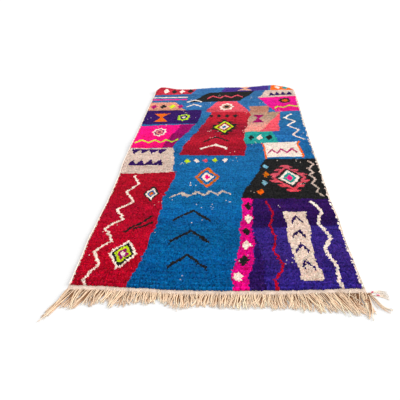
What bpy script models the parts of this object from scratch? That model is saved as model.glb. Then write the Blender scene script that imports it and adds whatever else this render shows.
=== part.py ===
"""A hand-knotted wool pile rug lying on a floor: corded sides, a flat-woven end band and a warp fringe.

Run it with blender --background --python part.py, or from Blender's text editor.
Metres, +Z up. The origin is on the floor under the middle of the pile, and the fringe is at the -Y end.
"""

import bisect
import math
import random
from collections import namedtuple

import bmesh
import bpy
from mathutils import Matrix, Vector

# Driving dimensions
PILE_WIDTH = 1.500
PILE_LENGTH = 2.850
PILE_HEIGHT = 0.0140
PILE_EDGE_HEIGHT = 0.0090
PILE_EDGE_ROUND = 0.0130
PILE_UNEVEN = 0.0008
CORD_RADIUS = 0.0050
CORD_FLATTENING = 0.80
BAND_HEIGHT = 0.0034
STRIP_DEPTH = 0.0090
STRIP_HEIGHT = 0.0046
STRAND_COUNT = 150
STRAND_WIDTH = 0.0054
STRAND_TIP_WIDTH = 0.0030
STRAND_TIP_HEIGHT = 0.0026
LOCK_PULL = 0.24
LOCK_SWAY = 0.0045
KNOT_RADIUS = 0.0085
KNOT_HEIGHT = 0.0080
GAP = 0.0003

# Mesh density
FIELD_COLUMNS = 25
FIELD_ROWS = 42
STRAND_STEPS = 5
KNOT_SIDES = 10

# Where the two long sides lie, from the near end to the far end
Side = namedtuple("Side", "along left right")
SIDES = (
    Side(along=-1.425, left=-0.741, right=0.736),
    Side(along=-1.240, left=-0.743, right=0.731),
    Side(along=-1.060, left=-0.749, right=0.725),
    Side(along=-0.870, left=-0.743, right=0.729),
    Side(along=-0.650, left=-0.737, right=0.719),
    Side(along=-0.390, left=-0.738, right=0.718),
    Side(along=-0.090, left=-0.753, right=0.718),
    Side(along=0.260, left=-0.748, right=0.718),
    Side(along=0.690, left=-0.749, right=0.724),
    Side(along=1.210, left=-0.750, right=0.734),
    Side(along=1.425, left=-0.744, right=0.732),
)

# How far the two short ends stray from straight, and how deep the flat-woven band is, from left to right
End = namedtuple("End", "across near far band")
ENDS = (
    End(across=-0.760, near=0.000, far=-0.010, band=0.036),
    End(across=-0.700, near=-0.001, far=0.066, band=0.035),
    End(across=-0.600, near=-0.004, far=0.058, band=0.034),
    End(across=-0.380, near=-0.015, far=0.042, band=0.033),
    End(across=-0.180, near=-0.027, far=0.052, band=0.033),
    End(across=0.060, near=-0.027, far=0.056, band=0.033),
    End(across=0.330, near=-0.021, far=0.060, band=0.034),
    End(across=0.540, near=-0.011, far=0.064, band=0.032),
    End(across=0.640, near=-0.005, far=0.030, band=0.033),
    End(across=0.700, near=-0.001, far=-0.004, band=0.034),
    End(across=0.760, near=0.001, far=-0.070, band=0.034),
)

# Soft humps where the cloth lifts off the floor
Ripple = namedtuple("Ripple", "across along reach height")
RIPPLES = (
    Ripple(across=-0.680, along=1.480, reach=0.190, height=0.024),
    Ripple(across=0.500, along=1.500, reach=0.240, height=0.010),
    Ripple(across=-0.100, along=1.500, reach=0.260, height=0.006),
    Ripple(across=0.745, along=-0.180, reach=0.200, height=0.006),
    Ripple(across=-0.770, along=0.180, reach=0.210, height=0.007),
)

# How the fringe is combed, from left to right: its slant (metres sideways for each metre out), how far each
# strand curls sideways by its tip, and its length
Comb = namedtuple("Comb", "across slant curl length")
COMBING = (
    Comb(across=-0.760, slant=-0.36, curl=-0.022, length=0.218),
    Comb(across=-0.720, slant=-0.36, curl=-0.014, length=0.166),
    Comb(across=-0.670, slant=-0.38, curl=-0.004, length=0.124),
    Comb(across=-0.610, slant=-0.36, curl=0.000, length=0.100),
    Comb(across=-0.520, slant=-0.22, curl=0.004, length=0.082),
    Comb(across=-0.420, slant=-0.12, curl=0.000, length=0.078),
    Comb(across=-0.300, slant=-0.05, curl=0.000, length=0.082),
    Comb(across=-0.170, slant=0.08, curl=0.000, length=0.098),
    Comb(across=-0.050, slant=-0.06, curl=0.000, length=0.082),
    Comb(across=0.100, slant=0.05, curl=0.000, length=0.086),
    Comb(across=0.250, slant=0.02, curl=0.000, length=0.088),
    Comb(across=0.400, slant=0.10, curl=0.002, length=0.092),
    Comb(across=0.520, slant=0.16, curl=0.004, length=0.098),
    Comb(across=0.630, slant=0.22, curl=0.000, length=0.110),
    Comb(across=0.690, slant=0.20, curl=-0.005, length=0.134),
    Comb(across=0.750, slant=0.16, curl=-0.014, length=0.158),
)

# The loose tails of the corner knot: the side of the knot that each leaves, its length and how it turns, in degrees
Tail = namedtuple("Tail", "side length turn")
TAILS = (
    Tail(side=-54.0, length=0.122, turn=14.0),
    Tail(side=-18.0, length=0.084, turn=14.0),
    Tail(side=18.0, length=0.080, turn=-34.0),
)
TAIL_STEPS = 6
TAIL_WIDTH = 0.0048
TAIL_HEIGHT = 0.0042

# Colours are linear red, green and blue
PILE_BLUE = (0.016, 0.110, 0.300, 1.0)
UNDYED_CREAM = (0.690, 0.520, 0.390, 1.0)
UNDYED_PALE = (0.720, 0.590, 0.470, 1.0)
WOOL_ROUGHNESS = 0.92


def clear_scene():
    """Remove what the start-up scene holds."""
    for item in list(bpy.data.objects):
        bpy.data.objects.remove(item, do_unlink=True)


def read_table(rows, at, column):
    """The value of a table's column at a place along its first column, on a smooth curve through its rows."""
    keys = [row[0] for row in rows]
    values = [getattr(row, column) for row in rows]
    if at <= keys[0]:
        return values[0]
    if at >= keys[-1]:
        return values[-1]
    i = bisect.bisect_right(keys, at) - 1
    share = (at - keys[i]) / (keys[i + 1] - keys[i])
    ease = share * share * (3.0 - 2.0 * share)
    return values[i] + (values[i + 1] - values[i]) * ease


def blend(a, b, share):
    """The value a share of the way from a to b."""
    return a + (b - a) * share


def field_place(u, v):
    """The plan place of the pile at a share u across and v along."""
    across = (u - 0.5) * PILE_WIDTH
    along = (v - 0.5) * PILE_LENGTH
    x = blend(read_table(SIDES, along, "left"), read_table(SIDES, along, "right"), u)
    near = -PILE_LENGTH / 2 + read_table(ENDS, across, "near")
    far = PILE_LENGTH / 2 + read_table(ENDS, across, "far")
    return x, blend(near, far, v)


def lift(x, y):
    """How far the cloth stands off the floor at a plan place."""
    total = 0.0
    for ripple in RIPPLES:
        away = math.hypot(x - ripple.across, y - ripple.along) / ripple.reach
        if away < 1.0:
            total += ripple.height * math.cos(away * math.pi / 2) ** 2
    return total


def pile_height(x, y):
    """The height of the pile's tips over the underside, which hand clipping leaves a little uneven."""
    wave = math.sin(x * 17.0 + 1.3 * math.sin(y * 5.0)) + math.sin(y * 13.0 + 2.0 * math.sin(x * 4.0))
    return PILE_HEIGHT + PILE_UNEVEN * wave / 2


def rim_shares(count, length):
    """Shares from 0 to 1 for count cells, with a narrow first and last cell that carry the rounded edge."""
    rim = PILE_EDGE_ROUND / length
    inner = [rim + (1.0 - 2 * rim) * i / (count - 2) for i in range(count - 1)]
    return [0.0] + inner + [1.0]


def wool(name, colour):
    """A plain matt wool material."""
    material = bpy.data.materials.new(name)
    material.use_nodes = True
    shader = material.node_tree.nodes["Principled BSDF"]
    shader.inputs["Base Color"].default_value = colour
    shader.inputs["Roughness"].default_value = WOOL_ROUGHNESS
    shader.inputs["Metallic"].default_value = 0.0
    return material


def add_object(name, data, material, collection):
    """Put a mesh or curve into the rug's collection as one named piece."""
    piece = bpy.data.objects.new(name, data)
    data.materials.append(material)
    collection.objects.link(piece)
    return piece


def mesh_from(name, bm):
    """A mesh made from bm, which is freed."""
    mesh = bpy.data.meshes.new(name)
    bm.to_mesh(mesh)
    bm.free()
    return mesh


def slab(columns, rows, place):
    """A closed slab from a grid of columns by rows cells.

    place(column, row, top) gives the point of each corner of the grid, on the underside or on top.
    """
    bm = bmesh.new()
    bmesh.ops.create_grid(bm, x_segments=columns, y_segments=rows, size=0.5)
    under = bm.verts[:]
    made = bmesh.ops.extrude_face_region(bm, geom=bm.faces[:])
    above = [item for item in made["geom"] if isinstance(item, bmesh.types.BMVert)]
    for verts, top in ((under, False), (above, True)):
        for vert in verts:
            column = round((vert.co.x + 0.5) * columns)
            row = round((vert.co.y + 0.5) * rows)
            vert.co = place(column, row, top)
    bmesh.ops.recalc_face_normals(bm, faces=bm.faces[:])
    return bm


def make_pile_field(material, collection):
    """The knotted pile as one soft slab, with rounded edges and the humps of the cloth."""
    us = rim_shares(FIELD_COLUMNS, PILE_WIDTH)
    vs = rim_shares(FIELD_ROWS, PILE_LENGTH)

    def place(column, row, top):
        x, y = field_place(us[column], vs[row])
        on_rim = column in (0, FIELD_COLUMNS) or row in (0, FIELD_ROWS)
        height = PILE_EDGE_HEIGHT if on_rim else pile_height(x, y)
        return Vector((x, y, lift(x, y) + (height if top else 0.0)))

    mesh = mesh_from("pile_field", slab(FIELD_COLUMNS, FIELD_ROWS, place))
    mesh.shade_smooth()
    mesh.set_sharp_from_angle(angle=math.radians(35))
    return add_object("pile_field", mesh, material, collection)


def make_side_cord(name, u, material, collection):
    """The thick overcast cord along one long side, u being 0 on the left and 1 on the right."""
    outwards = 1.0 if u > 0.5 else -1.0
    shares = rim_shares(FIELD_ROWS, PILE_LENGTH)
    end_inset = 0.001
    curve = bpy.data.curves.new(name, "CURVE")
    curve.dimensions = "3D"
    curve.bevel_depth = CORD_RADIUS
    curve.bevel_resolution = 2
    curve.use_fill_caps = True
    spline = curve.splines.new("POLY")
    spline.points.add(len(shares) - 1)
    for point, v in zip(spline.points, shares):
        x, y = field_place(u, v)
        if v == 0.0:
            y += end_inset
        middle = x + outwards * (CORD_RADIUS + GAP)
        point.co = (middle, y, CORD_RADIUS + lift(x, y) / CORD_FLATTENING, 1.0)
    cord = add_object(name, curve, material, collection)
    cord.scale = (1.0, 1.0, CORD_FLATTENING)
    return cord


def band_edge(u):
    """The plan place of the pile's near edge at a share u, widened so that the band also ends the side cords."""
    margin = 2 * CORD_RADIUS + GAP
    across = (u - 0.5) * PILE_WIDTH
    start = SIDES[0]
    x = blend(start.left - margin, start.right + margin, u)
    return x, -PILE_LENGTH / 2 + read_table(ENDS, across, "near")


def band_depth(u):
    """How deep the flat-woven band is at a share u across."""
    return read_table(ENDS, (u - 0.5) * PILE_WIDTH, "band")


def make_end_band(material, collection):
    """The flat-woven band beyond the pile, thinner than the pile."""
    us = rim_shares(FIELD_COLUMNS, PILE_WIDTH)
    rows = 2

    def place(column, row, top):
        x, edge = band_edge(us[column])
        y = edge - GAP - band_depth(us[column]) * (1.0 - row / rows)
        return Vector((x, y, BAND_HEIGHT if top else 0.0))

    mesh = mesh_from("end_band", slab(FIELD_COLUMNS, rows, place))
    return add_object("end_band", mesh, material, collection)


def strip_edge(u):
    """The plan place of the fringe strip's back edge, on straight lines between the band's columns."""
    us = rim_shares(FIELD_COLUMNS, PILE_WIDTH)
    i = min(bisect.bisect_right(us, u) - 1, FIELD_COLUMNS - 1)
    share = (u - us[i]) / (us[i + 1] - us[i])
    ends = []
    for end in (us[i], us[i + 1]):
        x, y = band_edge(end)
        ends.append(Vector((x, y - band_depth(end) - 2 * GAP)))
    return ends[0].lerp(ends[1], share)


Lock = namedtuple("Lock", "first last middle sway phase")


def gather_locks(chance):
    """Share the strands out into locks of three to seven that lie together."""
    locks = []
    first = 0
    while first < STRAND_COUNT:
        last = min(first + chance.randint(3, 7), STRAND_COUNT) - 1
        sway = chance.uniform(-LOCK_SWAY, LOCK_SWAY)
        locks.append(Lock(first, last, (first + last) / 2, sway, chance.uniform(0.0, math.pi)))
        first = last + 1
    return locks


def strand_sections(index, lock, root, pitch, chance):
    """The middle, sideways direction, width and height of one strand at each of its steps."""
    slant = read_table(COMBING, root.x, "slant")
    curl = read_table(COMBING, root.x, "curl")
    length = read_table(COMBING, root.x, "length") * chance.uniform(0.92, 1.06)
    out = length / math.hypot(1.0, slant)
    gather = (lock.middle - index) * pitch * LOCK_PULL
    places = []
    for step in range(STRAND_STEPS + 1):
        t = step / STRAND_STEPS
        sway = lock.sway * (math.sin(lock.phase + 2.2 * t) - math.sin(lock.phase)) * t
        places.append(root + Vector((slant * out * t + curl * t * t + gather * t + sway, -out * t)))
    sections = []
    for step, place in enumerate(places):
        t = step / STRAND_STEPS
        ahead = places[min(step + 1, STRAND_STEPS)]
        behind = places[max(step - 1, 0)]
        heading = (ahead - behind).normalized()
        sideways = Vector((-heading.y, heading.x))
        if step == 0:
            sideways = Vector((1.0, 0.0))
        width = blend(STRAND_WIDTH, STRAND_TIP_WIDTH, t * t)
        height = blend(STRIP_HEIGHT, STRAND_TIP_HEIGHT, t)
        sections.append((place, sideways, width, height))
    return sections


def grow_strands(bm, faces, strands):
    """Draw each face out of the solid along its own list of sections, as a strand of four sides."""
    number = bm.faces.layers.int["strand"]
    for index, face in enumerate(faces):
        face[number] = index
    for step in range(1, len(strands[0])):
        faces = bmesh.ops.extrude_discrete_faces(bm, faces=faces)["faces"]
        for face in faces:
            old_place, old_side, _, old_height = strands[face[number]][step - 1]
            place, sideways, width, height = strands[face[number]][step]
            for vert in face.verts:
                right = (vert.co.xy - old_place).dot(old_side) > 0.0
                top = vert.co.z > old_height / 2
                spot = place + sideways * (width / 2 if right else -width / 2)
                vert.co = (spot.x, spot.y, height if top else 0.0)


def make_fringe(material, collection):
    """The warp fringe: strands drawn out of one narrow strip that runs along the band."""
    chance = random.Random(11)
    cells = 2 * STRAND_COUNT + 1
    half_strand = STRAND_WIDTH / (2 * (band_edge(1.0)[0] - band_edge(0.0)[0]))
    middles = [(i + 0.5) / STRAND_COUNT for i in range(STRAND_COUNT)]
    cuts = sorted([0.0, 1.0] + [m - half_strand for m in middles] + [m + half_strand for m in middles])

    def place(column, row, top):
        spot = strip_edge(cuts[column])
        return Vector((spot.x, spot.y - (0.0 if row else STRIP_DEPTH), STRIP_HEIGHT if top else 0.0))

    bm = slab(cells, 1, place)
    bm.faces.layers.int.new("strand")
    bm.normal_update()
    fronts = [face for face in bm.faces if face.normal.y < -0.7]
    fronts.sort(key=lambda face: face.calc_center_median().x)
    roots = fronts[1::2]
    pitch = (band_edge(1.0)[0] - band_edge(0.0)[0]) / STRAND_COUNT
    locks = gather_locks(chance)
    strands = []
    for index, face in enumerate(roots):
        lock = next(item for item in locks if item.first <= index <= item.last)
        strands.append(strand_sections(index, lock, face.calc_center_median().xy, pitch, chance))
    grow_strands(bm, roots, strands)
    return add_object("fringe", mesh_from("fringe", bm), material, collection)


def tail_sections(tail, knot, root):
    """The sections of one loose tail, which leaves the knot square to its side and turns as it lies."""
    heading = math.radians(tail.side)
    step_length = tail.length / TAIL_STEPS
    place = root
    sections = []
    for step in range(TAIL_STEPS + 1):
        t = step / TAIL_STEPS
        direction = Vector((math.cos(heading), math.sin(heading)))
        sideways = Vector((-direction.y, direction.x))
        width = blend(TAIL_WIDTH, STRAND_TIP_WIDTH, t)
        height = blend(TAIL_HEIGHT, STRAND_TIP_HEIGHT, t)
        sections.append((place, sideways, width, height))
        heading += math.radians(tail.turn) / TAIL_STEPS
        place = place + direction * step_length
    return sections


def make_corner_knot(material, collection):
    """The knot at the near right corner, a squat round lump with three loose tails drawn out of its sides."""
    x, y = band_edge(1.0)
    knot = Vector((x + KNOT_RADIUS + GAP, y - band_depth(1.0) - STRIP_DEPTH))
    bm = bmesh.new()
    bm.faces.layers.int.new("strand")
    bmesh.ops.create_cone(
        bm,
        cap_ends=True,
        segments=KNOT_SIDES,
        radius1=KNOT_RADIUS,
        radius2=KNOT_RADIUS,
        depth=TAIL_HEIGHT,
        matrix=Matrix.Translation((knot.x, knot.y, TAIL_HEIGHT / 2))
        @ Matrix.Rotation(math.pi / KNOT_SIDES, 4, "Z"),
    )
    bm.normal_update()
    sides = [face for face in bm.faces if abs(face.normal.z) < 0.5]
    crown = [face for face in bm.faces if face.normal.z > 0.5]
    roots = []
    strands = []
    for tail in TAILS:
        leaving = Vector((math.cos(math.radians(tail.side)), math.sin(math.radians(tail.side)), 0.0))
        face = max(sides, key=lambda side: side.normal.dot(leaving))
        roots.append(face)
        strands.append(tail_sections(tail, knot, face.calc_center_median().xy))
    grow_strands(bm, roots, strands)
    for share, rise in ((0.86, 0.55), (0.50, 0.45)):
        crown = bmesh.ops.extrude_discrete_faces(bm, faces=crown)["faces"]
        for vert in crown[0].verts:
            spot = knot + (vert.co.xy - knot) * share
            vert.co = (spot.x, spot.y, vert.co.z + (KNOT_HEIGHT - TAIL_HEIGHT) * rise)
    return add_object("corner_knot", mesh_from("corner_knot", bm), material, collection)


def main():
    """Build the rug, one object for each piece."""
    clear_scene()
    rug = bpy.data.collections.new("knotted_rug")
    bpy.context.scene.collection.children.link(rug)
    make_pile_field(wool("pile_wool", PILE_BLUE), rug)
    make_side_cord("side_cord_left", 0.0, wool("left_cord_wool", UNDYED_PALE), rug)
    make_side_cord("side_cord_right", 1.0, wool("right_cord_wool", UNDYED_PALE), rug)
    make_end_band(wool("band_wool", UNDYED_PALE), rug)
    make_fringe(wool("fringe_wool", UNDYED_CREAM), rug)
    make_corner_knot(wool("knot_wool", UNDYED_CREAM), rug)


main()
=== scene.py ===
"""Looks for a hand-knotted wool rug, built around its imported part.

The pile is knotted tuft by tuft over a woven back, between two wrapped side cords. At the near end are a
flat-woven band, the warp fringe and a knotted corner with loose tails. Sizes are in metres and +Z is up: the
floor is at 0, and the fringe lies at the -Y end.
"""

import logging
import math
from dataclasses import dataclass, field
from enum import Enum

import bmesh
import bpy
import numpy as np
from mathutils import Matrix, Vector

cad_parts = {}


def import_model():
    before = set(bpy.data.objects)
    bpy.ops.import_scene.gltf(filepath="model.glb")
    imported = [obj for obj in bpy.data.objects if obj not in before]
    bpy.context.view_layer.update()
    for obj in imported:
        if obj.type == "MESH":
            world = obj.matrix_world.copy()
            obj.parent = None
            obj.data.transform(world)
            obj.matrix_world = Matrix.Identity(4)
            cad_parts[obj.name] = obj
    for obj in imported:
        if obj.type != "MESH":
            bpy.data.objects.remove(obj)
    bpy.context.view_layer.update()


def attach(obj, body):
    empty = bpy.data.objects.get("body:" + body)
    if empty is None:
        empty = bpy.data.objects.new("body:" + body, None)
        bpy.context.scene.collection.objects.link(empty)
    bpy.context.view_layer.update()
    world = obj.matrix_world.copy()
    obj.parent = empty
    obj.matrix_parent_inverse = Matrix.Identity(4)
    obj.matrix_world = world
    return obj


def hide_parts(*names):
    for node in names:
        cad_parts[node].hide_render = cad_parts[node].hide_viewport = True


LOG = logging.getLogger("knotted_rug")
COLOUR_LAYER = "yarn_colour"
TWIST_LAYER = "yarn_twist"
BODY = "root"
GAP = 0.0003

Array = np.ndarray
Numbers = np.ndarray | float
Pair = tuple[float, float]
Triple = tuple[float, float, float]
Colour = Triple
Chance = np.random.Generator
Piece = bpy.types.Object
Tree = bpy.types.NodeTree
Node = bpy.types.Node
Socket = bpy.types.NodeSocket


def linear(colour: Colour) -> Array:
    """Turn an sRGB colour into the linear light that materials use.

    Args:
        colour: Red, green and blue from 0 to 1.

    Returns:
        The linear red, green and blue.
    """
    value = np.asarray(colour, dtype=float)
    return np.where(value <= 0.04045, value / 12.92, ((value + 0.055) / 1.055) ** 2.4)


def blend(start: Numbers, end: Numbers, share: Numbers) -> Numbers:
    """Return what lies a share of the way from start to end."""
    return start + (end - start) * share


def soft_step(share: Numbers, first: float = 0.0, last: float = 1.0) -> Numbers:
    """Return how far a share has come from first to last, starting and stopping gently."""
    kept = np.clip((share - first) / (last - first), 0.0, 1.0)
    return kept * kept * (3.0 - 2.0 * kept)


def read_rows(rows: tuple, key: str, column: str, at: Numbers) -> Numbers:
    """Read a table's column on a smooth curve through its rows.

    Args:
        rows: The table, in order of its key.
        key: The column that says where each row lies.
        column: The column to read.
        at: The places to read it at.

    Returns:
        The column's value at each place.
    """
    keys = np.array([getattr(row, key) for row in rows])
    values = np.array([getattr(row, column) for row in rows])
    place = np.clip(at, keys[0], keys[-1])
    i = np.clip(np.searchsorted(keys, place, side="right") - 1, 0, len(keys) - 2)
    share = (place - keys[i]) / (keys[i + 1] - keys[i])
    return blend(values[i], values[i + 1], soft_step(share))


@dataclass(frozen=True)
class Side:
    """Where the two long sides of the pile lie at one place along it."""

    along: float
    left: float
    right: float


@dataclass(frozen=True)
class End:
    """How far the two ends stray from straight at one place across, and how deep the flat-woven band is."""

    across: float
    near: float
    far: float
    band: float


@dataclass(frozen=True)
class Ripple:
    """A soft hump where the cloth lifts off the floor."""

    across: float
    along: float
    reach: float
    height: float


@dataclass(frozen=True)
class Comb:
    """How the fringe is combed at one place across.

    Its strands slant and curl sideways, reach outwards and close up in locks, and the upper ones are thinned.
    """

    across: float
    slant: float
    curl: float
    out: float
    close: float = 0.0
    thin: float = 0.0


@dataclass(frozen=True)
class Outline:
    """The shape in which the rug lies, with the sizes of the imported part."""

    width: float = 1.500
    length: float = 2.850
    cord_radius: float = 0.0050
    strip_depth: float = 0.0090
    sides: tuple[Side, ...] = (
        Side(-1.425, -0.741, 0.736),
        Side(-1.240, -0.743, 0.731),
        Side(-1.060, -0.749, 0.725),
        Side(-0.870, -0.743, 0.729),
        Side(-0.650, -0.737, 0.719),
        Side(-0.390, -0.738, 0.718),
        Side(-0.090, -0.753, 0.718),
        Side(0.260, -0.748, 0.718),
        Side(0.690, -0.749, 0.724),
        Side(1.210, -0.750, 0.734),
        Side(1.425, -0.744, 0.732),
    )
    ends: tuple[End, ...] = (
        End(-0.760, 0.000, -0.010, 0.036),
        End(-0.700, -0.001, 0.066, 0.035),
        End(-0.600, -0.004, 0.058, 0.034),
        End(-0.380, -0.015, 0.042, 0.033),
        End(-0.180, -0.027, 0.052, 0.033),
        End(0.060, -0.027, 0.056, 0.033),
        End(0.330, -0.021, 0.060, 0.034),
        End(0.540, -0.011, 0.064, 0.032),
        End(0.640, -0.005, 0.030, 0.033),
        End(0.700, -0.001, -0.004, 0.034),
        End(0.760, 0.001, -0.070, 0.034),
    )
    ripples: tuple[Ripple, ...] = (
        Ripple(-0.680, 1.480, 0.190, 0.024),
        Ripple(0.500, 1.500, 0.240, 0.010),
        Ripple(-0.100, 1.500, 0.260, 0.006),
        Ripple(0.745, -0.180, 0.200, 0.006),
        Ripple(-0.770, 0.180, 0.210, 0.007),
    )

    def place(self, u: Array, v: Array) -> tuple[Array, Array]:
        """Find a plan place on the pile.

        Args:
            u: The share across, from the left side.
            v: The share along, from the near end.

        Returns:
            The place's x and y.
        """
        across, along = (u - 0.5) * self.width, (v - 0.5) * self.length
        left, right = (read_rows(self.sides, "along", side, along) for side in ("left", "right"))
        near, far = (read_rows(self.ends, "across", end, across) for end in ("near", "far"))
        return blend(left, right, u), blend(near - self.length / 2, far + self.length / 2, v)

    def lift(self, x: Array, y: Array) -> Array:
        """Work out how far the cloth stands off the floor.

        Args:
            x: The plan places across.
            y: The plan places along.

        Returns:
            The cloth's height at each place.
        """
        total = np.zeros(np.broadcast(x, y).shape)
        for ripple in self.ripples:
            away = np.hypot(x - ripple.across, y - ripple.along) / ripple.reach
            total += ripple.height * np.cos(np.minimum(away, 1.0) * math.pi / 2) ** 2
        return total

    def band_edge(self, u: Array, depth: float) -> tuple[Array, Array]:
        """Find a plan place on the flat-woven band, which also ends the two side cords.

        Args:
            u: The share across the band.
            depth: The share from the pile's edge, 0, to the fringe, 1.

        Returns:
            The place's x and y.
        """
        margin = 2 * self.cord_radius + GAP
        across = (u - 0.5) * self.width
        x = blend(self.sides[0].left - margin, self.sides[0].right + margin, u)
        y = read_rows(self.ends, "across", "near", across) - self.length / 2
        return x, y - depth * read_rows(self.ends, "across", "band", across)


class Yarn(Enum):
    """The wools of the pile, each with its sRGB colour."""

    COBALT = (0.00, 0.37, 0.60)
    MADDER = (0.695, 0.01, 0.145)
    VIOLET = (0.20, 0.15, 0.475)
    PLUM = (0.19, 0.07, 0.35)
    FUCHSIA = (0.94, 0.01, 0.51)
    WINE = (0.60, 0.00, 0.38)
    PEACH = (0.91, 0.60, 0.50)
    SALMON = (0.87, 0.31, 0.37)
    ORANGE = (0.94, 0.40, 0.02)
    LIME = (0.78, 0.84, 0.10)
    TEAL = (0.13, 0.58, 0.56)
    CREAM = (0.97, 0.895, 0.84)
    OAT = (0.815, 0.72, 0.665)
    LINEN = (0.895, 0.80, 0.73)
    WALNUT = (0.70, 0.48, 0.39)
    CHARCOAL = (0.13, 0.13, 0.13)
    SKY = (0.53, 0.73, 0.82)


YARNS = tuple(Yarn)
UNDYED = (Yarn.CREAM, Yarn.OAT, Yarn.LINEN, Yarn.WALNUT, Yarn.CHARCOAL)
UNEVEN_DYES = {Yarn.VIOLET: 1.7, **dict.fromkeys(UNDYED, 0.15)}
# How strongly painted sheen washes each yarn paler and greyer towards the far end
PAINTED_FAR_SHEEN = {Yarn.COBALT: 0.30, Yarn.MADDER: 0.16, Yarn.VIOLET: 0.10}


def held_rows(rows: int, chance: Chance) -> Array:
    """Return the row whose hand each row keeps, so that edges are stepped by one or two rows."""
    return np.repeat(np.arange(rows), chance.integers(1, 3, rows))[:rows]


@dataclass
class KnotChart:
    """The weaver's chart of the pile: a yarn for each knot, on a slightly wandering hand."""

    columns: int
    rows: int
    outline: Outline
    seed: int = 5
    wander: float = 0.0036
    marks: int = 36
    waves: tuple[Pair, ...] = ((3.0, 0.010), (7.0, 0.006), (15.0, 0.004))
    leans: Pair = (1.0, 5.0)
    along_share: float = 0.6
    x: Array = field(init=False)
    y: Array = field(init=False)
    yarn: Array = field(init=False)
    bare: Array = field(init=False)

    def __post_init__(self) -> None:
        """Lay out the knots and start with a plain field."""
        chance = np.random.default_rng(self.seed)
        u = (np.arange(self.columns) + 0.5) / self.columns
        v = (np.arange(self.rows) + 0.5) / self.rows
        x, y = self.outline.place(u[None, :], v[:, None])
        self.x = x + self.hand(chance)
        self.y = y + self.hand(chance) * self.along_share
        self.yarn = np.zeros((self.rows, self.columns), dtype=int)
        self.bare = np.zeros((self.rows, self.columns))

    def hand(self, chance: Chance) -> Array:
        """Work out how far the hand strays at each knot.

        Args:
            chance: The source of random numbers.

        Returns:
            An offset in metres for each knot.
        """
        across = np.linspace(0.0, 1.0, self.columns)
        held = held_rows(self.rows, chance)
        strays = chance.normal(0.0, self.wander, (self.rows, self.marks))
        stray = np.array([np.interp(across, np.linspace(0.0, 1.0, self.marks), strays[row]) for row in held])
        slow = np.arange(self.rows)[:, None] / self.rows
        for waves, size in self.waves:
            turn, lean = chance.uniform(0.0, math.tau), chance.uniform(*self.leans)
            stray += size * np.sin(math.tau * waves * slow + lean * across[None, :] * math.pi + turn)
        return stray

    def away(self, at: Pair, half: Pair = (1.0, 1.0)) -> tuple[Array, Array]:
        """Return how far each knot lies from a place, across and along, as shares of a figure's half size."""
        return np.abs(self.x - at[0]) / half[0], np.abs(self.y - at[1]) / half[1]

    def lay(self, where: Array, yarn: Yarn) -> None:
        """Knot one yarn over the knots that where marks."""
        self.yarn[where] = YARNS.index(yarn)

    def nest(self, reach: Array, rings: tuple[Yarn, ...]) -> None:
        """Knot rings of yarn, from the outside in, where reach is 1 at the figure's rim."""
        for index, yarn in enumerate(rings):
            self.lay(reach < 1.0 - index / len(rings), yarn)


@dataclass(frozen=True)
class Patch:
    """A block of one yarn with leaning sides."""

    yarn: Yarn
    near: float
    far: float
    left: Pair
    right: Pair
    tilt: float = 0.0

    def knot(self, chart: KnotChart) -> None:
        """Knot the block.

        Args:
            chart: The chart of the pile.
        """
        level = chart.y - self.tilt * chart.x
        share = np.clip((level - self.near) / (self.far - self.near), 0.0, 1.0)
        inside = (chart.x > blend(*self.left, share)) & (chart.x < blend(*self.right, share))
        chart.lay(inside & (level > self.near) & (level < self.far), self.yarn)


@dataclass(frozen=True)
class Line:
    """A line from one place to another, which may zigzag with a number of turns."""

    yarn: Yarn
    start: Pair
    end: Pair
    width: float = 0.020
    swing: float = 0.0
    turns: int = 1

    def knot(self, chart: KnotChart) -> None:
        """Knot the line.

        Args:
            chart: The chart of the pile.
        """
        run = np.subtract(self.end, self.start)
        size = float(np.hypot(*run))
        ahead = run / size
        dx, dy = chart.x - self.start[0], chart.y - self.start[1]
        share = (dx * ahead[0] + dy * ahead[1]) / size
        aside = dy * ahead[0] - dx * ahead[1]
        phase = share * self.turns / 2
        wave = self.swing * (1.0 - 4.0 * np.abs(phase - np.floor(phase) - 0.5))
        slope = 2.0 * self.swing * self.turns / size
        near = np.abs(aside - wave) < self.width / 2 * math.hypot(1.0, slope)
        chart.lay((share > 0.0) & (share < 1.0) & near, self.yarn)


@dataclass(frozen=True)
class Lozenge:
    """A diamond of nested rings, from the outside in, with or without small teeth around it."""

    at: Pair
    half: Pair
    rings: tuple[Yarn, ...]
    teeth: float = 0.0
    tooth_depth: float = 0.28

    def knot(self, chart: KnotChart) -> None:
        """Knot the diamond.

        Args:
            chart: The chart of the pile.
        """
        dx, dy = chart.away(self.at)
        reach = dx / self.half[0] + dy / self.half[1]
        if self.teeth:
            chart.lay(reach - self.tooth_depth * (np.floor(dy / self.teeth) % 2) < 1.0, self.rings[0])
        chart.nest(reach, self.rings)


@dataclass(frozen=True)
class Hourglass:
    """Two triangles that meet at their points."""

    yarn: Yarn
    at: Pair
    half: Pair
    waist: float = 0.008

    def knot(self, chart: KnotChart) -> None:
        """Knot the hourglass into the chart."""
        dx, dy = chart.away(self.at)
        chart.lay((dy < self.half[1]) & (dx < self.waist + self.half[0] * dy / self.half[1]), self.yarn)


@dataclass(frozen=True)
class Star:
    """An eight-pointed star in nested yarns, from the outside in."""

    at: Pair
    half: Pair
    rings: tuple[Yarn, ...]
    notch: float = 0.72

    def knot(self, chart: KnotChart) -> None:
        """Knot the star into the chart."""
        dx, dy = chart.away(self.at, self.half)
        chart.nest(np.minimum(np.maximum(dx, dy) / self.notch, dx + dy), self.rings)


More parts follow.
